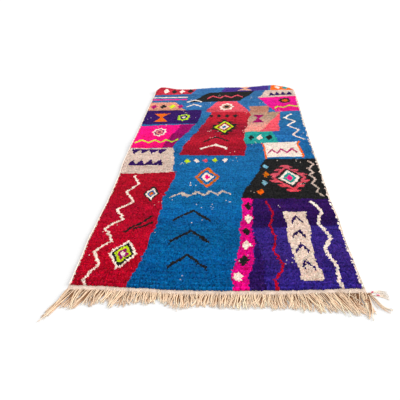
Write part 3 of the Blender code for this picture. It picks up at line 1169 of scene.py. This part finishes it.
@dataclass
class SideCord:
    """The outer warps wrapped over and over with undyed wool.

    The swells are waves of its thickness: how large, how many radians along it, and where they start.
    """

    outline: Outline
    right: bool
    radius: float
    colour: Colour
    seed: int = 40
    sides: int = 8
    height: float = 0.0132
    wrap_pitch: float = 0.0042
    ridge: float = 0.0009
    ridge_sizes: Pair = (0.6, 1.3)
    swells: tuple[Triple, ...] = ((0.06, 61.0, 0.0), (0.05, 143.0, 1.0))
    end_gap: float = 0.0010
    floor_gap: float = 0.0002
    tone: float = 0.95
    ridge_painted_shade: float = 0.10
    turn_tone: float = 0.05
    tone_limits: Pair = (0.5, 1.06)
    seam: float = 0.00001
    finish: WoolFinish = WoolFinish("wrapped_wool", fibre_scale=900.0, bump_depth=0.0006)

    def build(self) -> Piece:
        """Build the cord as a ridged tube along its side.

        Returns:
            The piece.
        """
        chance = np.random.default_rng(self.seed + self.right)
        rings = 2 * int(self.outline.length / self.wrap_pitch)
        j, k = np.arange(rings + 1), np.arange(self.sides + 1)
        v = j / rings
        x, y = self.outline.place(np.full(rings + 1, float(self.right)), v)
        middle = x + (self.radius + GAP) * (1.0 if self.right else -1.0)
        turn = math.tau * (k % self.sides) / self.sides
        wave = np.cos(math.pi * j[:, None] + turn) * chance.uniform(*self.ridge_sizes, rings + 1)[:, None]
        swell = sum((size * np.sin(v * waves + start) for size, waves, start in self.swells), 1.0)
        radius = (self.radius - self.ridge + self.ridge * wave) * swell[:, None]
        half = self.height / 2
        px = middle[:, None] + radius * np.cos(turn)
        pz = half + self.outline.lift(x, y)[:, None] + radius * half / self.radius * np.sin(turn)
        py = np.repeat(y[:, None], self.sides + 1, axis=1)
        py[0] += self.end_gap
        # Painted shade: darker in the grooves between wraps, lighter on the ridges; each turn also differs at
        # random
        tones = self.tone + self.ridge_painted_shade * wave + chance.normal(0.0, self.turn_tone, rings + 1)[:, None]
        colours = PlainColours(self.colour, np.clip(tones, *self.tone_limits))
        places = np.dstack([px, py, np.maximum(pz, self.floor_gap)])
        name = "right_cord" if self.right else "left_cord"
        piece = new_sheet(name, places, colours, self.finish.material(), downward=True)
        self.close(piece)
        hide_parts("side_cord_right" if self.right else "side_cord_left")
        return piece

    def close(self, piece: Piece) -> None:
        """Join the tube's seam and fill its two ends.

        Args:
            piece: The cord.
        """
        bm = bmesh.new()
        bm.from_mesh(piece.data)
        bmesh.ops.remove_doubles(bm, verts=bm.verts[:], dist=self.seam)
        bmesh.ops.holes_fill(bm, edges=[edge for edge in bm.edges if edge.is_boundary], sides=0)
        bm.to_mesh(piece.data)
        bm.free()


@dataclass
class WovenBand:
    """The flat-woven band beyond the pile, in undyed wool, with a slack outer edge."""

    outline: Outline
    columns: int = 500
    rows: int = 20
    height: float = 0.0030
    rib: float = 0.00045
    edge_gap: float = 0.0002
    under_pile: float = 0.0060
    slack_marks: int = 60
    slack_reach: float = 0.0024
    slack_rise: float = 0.0007
    stray: float = 0.0012
    rough: float = 0.00035
    floor_gap: float = 0.0004
    edge_height: float = 0.0022
    tuck_height: float = 0.0020
    tone: float = 0.78
    rib_painted_shade: float = 0.13
    cell_tone: float = 0.12
    slack_tone: float = 0.06
    slack_waves: Pair = (37.0, 3.0)
    edge_painted_shade: Triple = (0.62, 0.78, 0.92)
    tone_limits: Pair = (0.45, 1.05)
    seed: int = 51
    colour: Colour = (0.93, 0.84, 0.77)
    finish: WoolFinish = WoolFinish("flat_woven_wool", fibre_scale=800.0, bump_depth=0.0006)

    def build(self) -> Piece:
        """Build the band as a ribbed strip that lies on the floor.

        Returns:
            The piece.
        """
        chance = np.random.default_rng(self.seed)
        i, j = np.arange(self.columns + 1), np.arange(self.rows + 1)
        u, depth = i / self.columns, (j / self.rows)[:, None]
        x, y = (np.array(side) for side in zip(*(self.outline.band_edge(u, 1.0 - share) for share in depth)))
        y[0] -= self.edge_gap
        y[-1] += self.under_pile
        weave = np.cos(math.pi * (i + j[:, None])) * self.rib
        marks = np.linspace(0.0, 1.0, self.slack_marks)
        slack = np.interp(u, marks, chance.normal(0.0, 1.0, self.slack_marks))
        y += (slack * self.slack_reach + chance.normal(0.0, self.stray, x.shape)) * (1.0 - depth) ** 2
        z = self.height + weave + self.slack_rise * slack + chance.normal(0.0, self.rough, x.shape)
        z[0], z[1], z[-1] = self.floor_gap, self.edge_height, self.tuck_height
        z[:, 0] = z[:, -1] = self.floor_gap
        # Painted shade: the rib weave's low threads are darker and its high ones lighter, with random tone
        # per cell
        tones = self.tone + self.rib_painted_shade * weave / self.rib + chance.normal(0.0, self.cell_tone, x.shape)
        across, along = self.slack_waves
        tones *= 1.0 + self.slack_tone * slack * np.sin(u * across + along * depth)
        # Painted shade: the outer rows, where the band rolls down to the floor, are darker
        tones[: len(self.edge_painted_shade)] *= np.array(self.edge_painted_shade)[:, None]
        colours = PlainColours(self.colour, np.clip(tones, *self.tone_limits))
        piece = new_sheet("woven_band", np.dstack([x, y, z]), colours, self.finish.material())
        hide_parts("end_band")
        return piece


@dataclass
class Strand:
    """One yarn: where it runs, how thick it is and its linear colours, at each of its steps."""

    places: Array
    radii: Array
    colours: Array

    def frames(self) -> list[Matrix]:
        """Place, turn and size the disc of each step.

        Returns:
            A matrix for each step.
        """
        found = []
        for place, ahead, radius in zip(self.places, np.gradient(self.places, axis=0), self.radii):
            turned = Vector(ahead).to_track_quat("Z", "Y").to_matrix().to_4x4()
            found.append(Matrix.Translation(place) @ turned @ Matrix.Scale(float(radius), 4))
        return found


def grow_strands(strands: list[Strand], sides: int, shift: float = 0.37) -> bmesh.types.BMesh:
    """Draw round strands out of small discs, all of them one step at a time.

    Each corner also keeps the cosine and sine of its place around the strand and its distance along it, from
    which the finish works out how the plies twist.

    Args:
        strands: The strands, all with the same number of steps.
        sides: How many sides each strand has.
        shift: How much further along each strand's twist starts than the last one's.

    Returns:
        The mesh of them all.
    """
    bm = bmesh.new()
    number = bm.faces.layers.int.new("strand")
    colour = bm.verts.layers.float_color.new(COLOUR_LAYER)
    twist = bm.verts.layers.float_vector.new(TWIST_LAYER)
    frames = [strand.frames() for strand in strands]
    for index, steps in enumerate(frames):
        made = bmesh.ops.create_circle(bm, cap_ends=True, segments=sides, radius=1.0)
        for vert in made["verts"]:
            vert[colour] = (*strands[index].colours[0], 1.0)
            vert[twist] = (vert.co.x, vert.co.y, shift * index)
        bmesh.ops.transform(bm, matrix=steps[0], verts=made["verts"])
        made["verts"][0].link_faces[0][number] = index
    for face in bm.faces:
        face.normal_update()
        ahead = frames[face[number]][0].to_3x3() @ Vector((0.0, 0.0, 1.0))
        if face.normal.dot(ahead) < 0.0:
            face.normal_flip()
    faces = bm.faces[:]
    for step in range(1, len(frames[0])):
        faces = bmesh.ops.extrude_discrete_faces(bm, faces=faces)["faces"]
        for face in faces:
            index = face[number]
            steps = frames[index]
            move = steps[step] @ steps[step - 1].inverted()
            stride = (steps[step].translation - steps[step - 1].translation).length
            tint = (*strands[index].colours[step], 1.0)
            for vert in face.verts:
                vert.co = move @ vert.co
                vert[colour] = tint
                vert[twist] = vert[twist] + Vector((0.0, 0.0, stride))
    bmesh.ops.holes_fill(bm, edges=[edge for edge in bm.edges if edge.is_boundary], sides=0)
    return bm


@dataclass(frozen=True)
class Layer:
    """A layer of the fringe: its strands' number, thickness and lie, and their colours from root to tip."""

    count: int
    radius: float
    level: float
    start: float
    reach: float
    scatter: float
    gather: float
    root: Colour
    middle: Colour
    tip: Colour


@dataclass(frozen=True)
class Lock:
    """A lock of the fringe: its first and last share of the band, and its lean, sway, phase and length."""

    first: float
    last: float
    lean: float
    swing: float
    phase: float
    stretch: float


@dataclass
class WarpFringe:
    """The warp ends, plied and gathered in locks that lie on the floor."""

    outline: Outline
    steps: int = 12
    sides: int = 5
    seed: int = 17
    lock_width: Pair = (0.016, 0.054)
    lock_lean: float = 0.09
    lock_swing: float = 0.008
    lock_stretch: Pair = (0.90, 1.12)
    sway_turn: float = 3.4
    loose_share: float = 0.08
    loose_scatter: float = 0.34
    held_slant: Pair = (1.8, 0.1)
    spacing: Pair = (0.2, 0.8)
    lengths: Pair = (0.80, 1.08)
    starts: Pair = (0.2, 1.0)
    gathering: Pair = (0.0, 0.75)
    tip_spread: float = 0.14
    wiggle: float = 0.0034
    wiggle_turns: Pair = (0.6, 1.7)
    tip_stray: float = 0.007
    clearance: float = 1.04
    heights: float = 0.0016
    root_level: float = 0.62
    rising: Pair = (0.0, 0.22)
    tip_level: float = 0.25
    sinking: Pair = (0.45, 1.0)
    thin_root: float = 0.72
    thickening: Pair = (0.0, 0.12)
    thin_tip: float = 0.45
    thinning: Pair = (0.70, 1.0)
    root_fade: Pair = (0.0, 0.40)
    tip_fade: Pair = (0.45, 1.0)
    tone: float = 0.89
    tone_across: float = 0.17
    tone_scatter: float = 0.16
    tone_limits: Pair = (0.50, 1.20)
    brightest: float = 0.97
    layers: tuple[Layer, ...] = (
        # The lowest layer's dark brown roots and middles are painted shade beneath the upper strands
        Layer(
            350, 0.0026, 0.0000, 0.005, 0.93, 0.06, 0.12,
            (0.46, 0.31, 0.20), (0.58, 0.41, 0.28), (0.98, 0.84, 0.71),
        ),
        Layer(
            225, 0.0024, 0.0044, 0.014, 0.98, 0.11, 0.36,
            (0.93, 0.81, 0.70), (0.95, 0.82, 0.69), (1.00, 0.89, 0.78),
        ),
        Layer(
            170, 0.0014, 0.0036, 0.008, 1.01, 0.12, 0.30,
            (0.90, 0.78, 0.66), (0.96, 0.85, 0.73), (1.00, 0.90, 0.80),
        ),
        Layer(
            26, 0.0018, 0.0075, 0.028, 0.62, 0.75, 0.00,
            (0.95, 0.86, 0.77), (0.94, 0.83, 0.72), (0.98, 0.89, 0.78),
        ),
    )
    combing: tuple[Comb, ...] = (
        Comb(-0.760, -0.26, -0.040, 0.204, 0.50, 0.20),
        Comb(-0.728, -0.36, -0.026, 0.188, 0.46, 0.30),
        Comb(-0.705, -0.44, -0.006, 0.140, 0.10, 0.32),
        Comb(-0.665, -0.50, 0.000, 0.120, 0.00, 0.36),
        Comb(-0.605, -0.46, 0.000, 0.108, 0.00, 0.36),
        Comb(-0.550, -0.38, 0.000, 0.080, 0.00, 0.24),
        Comb(-0.505, -0.28, 0.000, 0.080),
        Comb(-0.445, -0.18, 0.000, 0.108),
        Comb(-0.415, -0.05, 0.000, 0.070),
        Comb(-0.350, 0.02, 0.000, 0.074),
        Comb(-0.270, 0.02, 0.000, 0.060),
        Comb(-0.205, -0.06, 0.000, 0.066),
        Comb(-0.150, -0.14, 0.000, 0.092),
        Comb(-0.095, -0.16, 0.000, 0.068),
        Comb(0.040, -0.06, 0.000, 0.075),
        Comb(0.180, 0.02, 0.000, 0.076),
        Comb(0.330, 0.08, 0.000, 0.082),
        Comb(0.430, 0.20, 0.000, 0.092),
        Comb(0.530, 0.38, 0.000, 0.108),
        Comb(0.610, 0.50, 0.000, 0.118),
        Comb(0.655, 0.36, -0.008, 0.116, 0.00, 0.10),
        Comb(0.692, 0.14, -0.014, 0.092, 0.10, 0.30),
        Comb(0.716, 0.20, -0.024, 0.130, 0.50, 0.20),
        Comb(0.750, 0.12, -0.030, 0.168, 0.72, 0.10),
    )
    finish: WoolFinish = WoolFinish(
        "warp_wool", fibre_scale=900.0, cloud_scale=30.0, bump_depth=0.0005, twist=430.0
    )

    def locks(self, chance: Chance) -> list[Lock]:
        """Share the band's length out into locks.

        Args:
            chance: The source of random numbers.

        Returns:
            The locks, from left to right.
        """
        found, first = [], 0.0
        while first < 1.0:
            last = min(first + chance.uniform(*self.lock_width) / self.outline.width, 1.0)
            lean, swing = chance.normal(0.0, self.lock_lean), chance.normal(0.0, self.lock_swing)
            phase, stretch = chance.uniform(0.0, math.pi), chance.uniform(*self.lock_stretch)
            found.append(Lock(first, last, lean, swing, phase, stretch))
            first = last
        return found

    def combed(self, column: str, across: float) -> float:
        """Return a column of the table of combing at one place across."""
        return float(read_rows(self.combing, "across", column, across))

    def course(self, u: float, lock: Lock, layer: Layer, chance: Chance) -> Array:
        """Work out where one strand runs.

        Args:
            u: Its place along the band.
            lock: The lock that it belongs to.
            layer: The layer that it lies in.
            chance: The source of random numbers.

        Returns:
            Its places, from root to tip.
        """
        x0, y0 = (float(value) for value in self.outline.band_edge(np.array(u), 1.0))
        middle = float(self.outline.band_edge(np.array((lock.first + lock.last) / 2), 1.0)[0])
        slant, curl, out, close = (self.combed(name, middle) for name in ("slant", "curl", "out", "close"))
        scatter = self.loose_scatter if chance.uniform() < self.loose_share else layer.scatter
        closing, least = self.held_slant
        slant += lock.lean + chance.normal(0.0, scatter) * max(1.0 - closing * close, least)
        out *= lock.stretch * layer.reach * chance.uniform(*self.lengths)
        start = layer.start * chance.uniform(*self.starts)
        t = np.linspace(0.0, 1.0, self.steps + 1)
        gather = (layer.gather + close) * soft_step(t, *self.gathering) - self.tip_spread * t**4
        sway = lock.swing * (np.sin(lock.phase + self.sway_turn * t) - math.sin(lock.phase)) * t
        size, turns = chance.normal(0.0, self.wiggle), chance.uniform(*self.wiggle_turns)
        wiggle = size * np.sin(math.tau * (t * turns + chance.uniform())) * t
        wiggle += chance.normal(0.0, self.tip_stray) * t**3
        x = x0 + slant * out * t + curl * t * t + (middle - x0) * gather + sway + wiggle
        rest = layer.radius * self.clearance
        high = rest + layer.level + chance.uniform(0.0, self.heights)
        z = blend(rest + layer.level * self.root_level, high, soft_step(t, *self.rising))
        z = blend(z, rest + layer.level * self.tip_level, soft_step(t, *self.sinking))
        return np.column_stack([x, y0 + start - (out + start) * t, z])

    def strand(self, u: float, lock: Lock, layer: Layer, chance: Chance) -> Strand:
        """Lay out one strand, which is thinner at its root and at its tip.

        Args:
            u: Its place along the band.
            lock: The lock that it belongs to.
            layer: The layer that it lies in.
            chance: The source of random numbers.

        Returns:
            The strand.
        """
        places = self.course(u, lock, layer, chance)
        t = np.linspace(0.0, 1.0, self.steps + 1)
        taper = blend(self.thin_root, 1.0, soft_step(t, *self.thickening))
        taper = taper * (1.0 - self.thin_tip * soft_step(t, *self.thinning))
        root, middle, tip = (linear(colour) for colour in (layer.root, layer.middle, layer.tip))
        tint = blend(root, middle, soft_step(t, *self.root_fade)[:, None])
        tint = blend(tint, tip, soft_step(t, *self.tip_fade)[:, None])
        tone = chance.normal(self.tone + self.tone_across * u, self.tone_scatter)
        tint = tint * float(np.clip(tone, *self.tone_limits))
        return Strand(places, layer.radius * taper, np.clip(tint, 0.0, self.brightest))

    def build(self) -> Piece:
        """Build the fringe, with fewer of its upper strands where it is thin.

        Returns:
            The piece.
        """
        chance = np.random.default_rng(self.seed)
        strands = []
        for layer in self.layers:
            locks = self.locks(chance)
            for index in range(layer.count):
                u = (index + chance.uniform(*self.spacing)) / layer.count
                lock = next(lock for lock in locks if lock.first <= u < lock.last)
                strand = self.strand(u, lock, layer, chance)
                if chance.uniform() >= self.combed("thin", strand.places[0, 0]) or layer.level == 0.0:
                    strands.append(strand)
        bm = grow_strands(strands, self.sides)
        piece = new_piece("warp_fringe", bm, self.finish.material())
        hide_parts("fringe")
        return piece


@dataclass(frozen=True)
class Tail:
    """A loose tail of one or more yarns: four plan places from the knot's middle, thickness and colour.

    Its yarns part towards the end by the spread, and bright thread is wound on it from one share to another.
    """

    root: Pair
    near: Pair
    far: Pair
    tip: Pair
    radius: float
    colour: Colour
    yarns: int = 1
    spread: float = 0.0
    wound: Pair = (0.0, 0.0)


@dataclass(frozen=True)
class Turn:
    """A turn of yarn in a knot: its plan place from the middle, height, size, thickness, tilt and start."""

    at: Pair
    height: float
    size: float
    thick: float
    tilt: float
    start: float


@dataclass
class CornerTails:
    """The last warps of the right side, knotted, with loose tails and bright thread around two of them."""

    outline: Outline
    knot_radius: float = 0.0082
    steps: int = 24
    sides: int = 10
    tails: tuple[Tail, ...] = (
        Tail((0.003, -0.003), (0.027, -0.038), (0.042, -0.066), (0.078, -0.092), 0.0026, (0.98, 0.90, 0.81)),
        Tail((0.000, -0.006), (0.019, -0.047), (0.036, -0.080), (0.066, -0.106), 0.0026, (0.91, 0.76, 0.63)),
        Tail(
            (0.000, -0.002), (0.024, -0.036), (0.044, -0.071), (0.080, -0.088), 0.0014, (0.99, 0.93, 0.84),
            4, 0.014,
        ),
        Tail(
            (0.004, 0.004), (0.020, 0.019), (0.050, 0.020), (0.086, 0.010), 0.0013, (1.00, 0.94, 0.87),
            6, 0.026, (0.20, 0.38),
        ),
        Tail(
            (0.005, 0.001), (0.030, -0.001), (0.057, -0.004), (0.086, -0.018), 0.0013, (1.00, 0.93, 0.85),
            6, 0.026, (0.36, 0.54),
        ),
        Tail((0.000, -0.006), (0.006, -0.034), (0.012, -0.060), (0.019, -0.086), 0.0016, (0.97, 0.89, 0.80)),
    )
    turns: tuple[Turn, ...] = (
        Turn((0.000, 0.000), 0.0066, 0.0078, 0.0030, 0.5, 0.3),
        Turn((0.001, -0.001), 0.0068, 0.0066, 0.0029, -0.6, 1.5),
        Turn((0.000, 0.001), 0.0072, 0.0054, 0.0028, 0.9, 2.6),
        Turn((-0.001, 0.000), 0.0066, 0.0036, 0.0032, 0.1, 3.6),
        Turn((-0.024, -0.040), 0.0062, 0.0096, 0.0024, 1.2, 0.2),
        Turn((-0.024, -0.044), 0.0060, 0.0092, 0.0023, 1.1, 1.1),
    )
    knot_yarn: Colour = (0.68, 0.51, 0.40)
    knot_turns: float = 1.04
    knot_flatness: float = 0.72
    clearance: float = 1.1
    knot_rise: Pair = (0.0036, 7.0)
    yarn_rise: float = 1.4
    yarn_gap: float = 1.6
    thin_tip: float = 0.55
    thinning: Pair = (0.60, 1.0)
    root_tone: float = 0.84
    tip_tone: float = 1.05
    bright: Colour = (0.95, 0.20, 0.48)
    bright_turns: float = 4.0
    bright_reach: float = 2.2
    bright_radius: float = 0.0014
    bright_height: float = 0.0013
    finish: WoolFinish = WoolFinish(
        "tail_wool", fibre_scale=900.0, cloud_scale=30.0, bump_depth=0.0005, twist=430.0
    )

    def centre(self) -> Array:
        """Return the middle of the knot, on the floor."""
        x, y = self.outline.band_edge(np.array(1.0), 1.0)
        return np.array([float(x) + self.knot_radius + GAP, float(y) - self.outline.strip_depth, 0.0])

    def tail_strand(self, tail: Tail, share: float = 0.0) -> Strand:
        """Lay out one yarn of a tail on a smooth curve through its four places.

        Args:
            tail: The tail.
            share: Where the yarn lies among the tail's yarns, from -0.5 to 0.5.

        Returns:
            The yarn.
        """
        t = np.linspace(0.0, 1.0, self.steps + 1)
        marks = np.array([tail.root, tail.near, tail.far, tail.tip])
        x, y = (np.polyval(np.polyfit(np.linspace(0.0, 1.0, 4), mark, 3), t) for mark in marks.T)
        aside = np.array([-(y[-1] - y[0]), x[-1] - x[0]]) / math.hypot(x[-1] - x[0], y[-1] - y[0])
        apart = share * (tail.spread * t**1.5 + tail.radius * self.yarn_gap)
        start = self.centre()
        rise, fall = self.knot_rise
        bunched = self.yarn_rise * (1.0 - (2.0 * share) ** 2)
        z = tail.radius * (self.clearance + bunched) + rise * np.exp(-t * fall)
        z = blend(z, tail.radius * self.clearance, soft_step(t))
        places = np.column_stack([start[0] + x + aside[0] * apart, start[1] + y + aside[1] * apart, z])
        taper = 1.0 - self.thin_tip * soft_step(t, *self.thinning)
        tones = blend(self.root_tone, self.tip_tone, t)[:, None]
        return Strand(places, tail.radius * taper, linear(tail.colour)[None, :] * tones)

    def turn_strand(self, turn: Turn) -> Strand:
        """Lay out one turn of a knot as a tilted ring, a little more than closed.

        Args:
            turn: The turn.

        Returns:
            The yarn.
        """
        t = np.linspace(0.0, 1.0, self.steps + 1)
        angle = math.tau * self.knot_turns * t + turn.start
        width, depth = turn.size, turn.size * self.knot_flatness
        ring = np.column_stack([np.cos(angle) * width, np.sin(angle) * depth, np.zeros_like(t)])
        axis = Vector((math.cos(turn.start), math.sin(turn.start), 0.0))
        lean = np.array(Matrix.Rotation(turn.tilt, 3, axis))
        places = ring @ lean.T + self.centre() + np.array([*turn.at, turn.height])
        places[:, 2] = np.maximum(places[:, 2], turn.thick * self.clearance)
        return Strand(places, np.full(len(t), turn.thick), np.tile(linear(self.knot_yarn), (len(t), 1)))

    def wound_strand(self, tail: Tail) -> Strand:
        """Lay out a bright thread wound around a tail.

        Args:
            tail: The tail.

        Returns:
            The thread.
        """
        core = self.tail_strand(tail).places
        t = np.linspace(0.0, 1.0, self.steps + 1)
        along = blend(*tail.wound, t) * self.steps
        places = np.column_stack([np.interp(along, np.arange(self.steps + 1), core[:, k]) for k in range(3)])
        angle = math.tau * self.bright_turns * t
        reach = tail.radius * self.bright_reach
        places[:, 1] += np.cos(angle) * reach
        places[:, 2] = np.maximum(places[:, 2] + np.sin(angle) * reach, self.bright_height)
        return Strand(places, np.full(len(t), self.bright_radius), np.tile(linear(self.bright), (len(t), 1)))

    def build(self) -> Piece:
        """Build the knot, its tails and the bright threads.

        Returns:
            The piece.
        """
        strands = []
        for tail in self.tails:
            shares = np.linspace(-0.5, 0.5, tail.yarns) if tail.yarns > 1 else [0.0]
            strands += [self.tail_strand(tail, float(share)) for share in shares]
        strands += [self.turn_strand(turn) for turn in self.turns]
        strands += [self.wound_strand(tail) for tail in self.tails if tail.wound[1] > 0.0]
        bm = grow_strands(strands, self.sides)
        piece = new_piece("knotted_tails", bm, self.finish.material())
        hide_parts("corner_knot")
        return piece


@dataclass(frozen=True)
class Studio:
    """A plain white floor, soft light and the camera at the photograph's viewing angle."""

    place: Triple = (0.124, -2.830, 1.512)
    pitch: float = 34.65
    heading: float = 6.35
    roll: float = 4.06
    lens: float = 36.0
    sensor: float = 36.0
    floor_size: float = 400.0
    floor_white: float = 0.710
    room_light: float = 1.15
    lamp_strength: float = 2.9
    lamp_height: float = 20.0
    lamp_bearing: float = 14.0
    lamp_softness: float = 34.0

    def build(self) -> None:
        """Set up the floor, the light and the camera."""
        bpy.context.scene.view_settings.view_transform = "Standard"
        self.build_floor()
        self.build_world()
        self.build_lamp()
        self.build_camera()

    def build_floor(self) -> None:
        """Lay the white floor."""
        bm = bmesh.new()
        bmesh.ops.create_grid(bm, x_segments=1, y_segments=1, size=self.floor_size / 2)
        mesh = bpy.data.meshes.new("studio_floor")
        bm.to_mesh(mesh)
        bm.free()
        material = bpy.data.materials.new("white_floor")
        material.use_nodes = True
        shader = material.node_tree.nodes["Principled BSDF"]
        shader.inputs["Base Color"].default_value = (*[self.floor_white] * 3, 1.0)
        shader.inputs["Roughness"].default_value = 1.0
        shader.inputs["Specular IOR Level"].default_value = 0.0
        mesh.materials.append(material)
        floor = bpy.data.objects.new("studio_floor", mesh)
        bpy.context.scene.collection.objects.link(floor)

    def build_world(self) -> None:
        """Fill the room with even white light."""
        world = bpy.data.worlds.new("white_room")
        world.use_nodes = True
        ground = world.node_tree.nodes["Background"]
        ground.inputs["Color"].default_value = (1.0, 1.0, 1.0, 1.0)
        ground.inputs["Strength"].default_value = self.room_light
        bpy.context.scene.world = world

    def build_lamp(self) -> None:
        """Shine a broad soft lamp from the far right, so that faint shadows fall to the near left."""
        data = bpy.data.lights.new("soft_lamp", "SUN")
        data.energy = self.lamp_strength
        data.angle = math.radians(self.lamp_softness)
        height, bearing = math.radians(self.lamp_height), math.radians(self.lamp_bearing)
        flat = math.cos(height)
        towards = Vector((math.cos(bearing) * flat, math.sin(bearing) * flat, math.sin(height)))
        lamp = bpy.data.objects.new("soft_lamp", data)
        lamp.rotation_euler = (-towards).to_track_quat("-Z", "Y").to_euler()
        bpy.context.scene.collection.objects.link(lamp)

    def build_camera(self) -> None:
        """Stand the camera where the photograph was taken."""
        data = bpy.data.cameras.new("photo_camera")
        data.lens = self.lens
        data.sensor_width = self.sensor
        data.sensor_fit = "HORIZONTAL"
        camera = bpy.data.objects.new("photo_camera", data)
        pitch = Matrix.Rotation(math.radians(90.0 - self.pitch), 4, "X")
        heading = Matrix.Rotation(math.radians(self.heading), 4, "Z")
        roll = Matrix.Rotation(math.radians(-self.roll), 4, "Z")
        camera.matrix_world = Matrix.Translation(self.place) @ heading @ pitch @ roll
        bpy.context.scene.collection.objects.link(camera)
        bpy.context.scene.camera = camera


def main() -> None:
    """Build the rug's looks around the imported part."""
    logging.basicConfig(level=logging.INFO, format="%(message)s")
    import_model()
    Studio().build()
    outline = Outline()
    pile = KnottedPile(outline).build()
    cords = [
        SideCord(outline, right=False, radius=0.0040, colour=(0.99, 0.92, 0.87)).build(),
        SideCord(outline, right=True, radius=0.0064, colour=(1.00, 0.96, 0.91)).build(),
    ]
    band = WovenBand(outline).build()
    fringe = WarpFringe(outline).build()
    tails = CornerTails(outline).build()


if __name__ == "__main__":
    main()
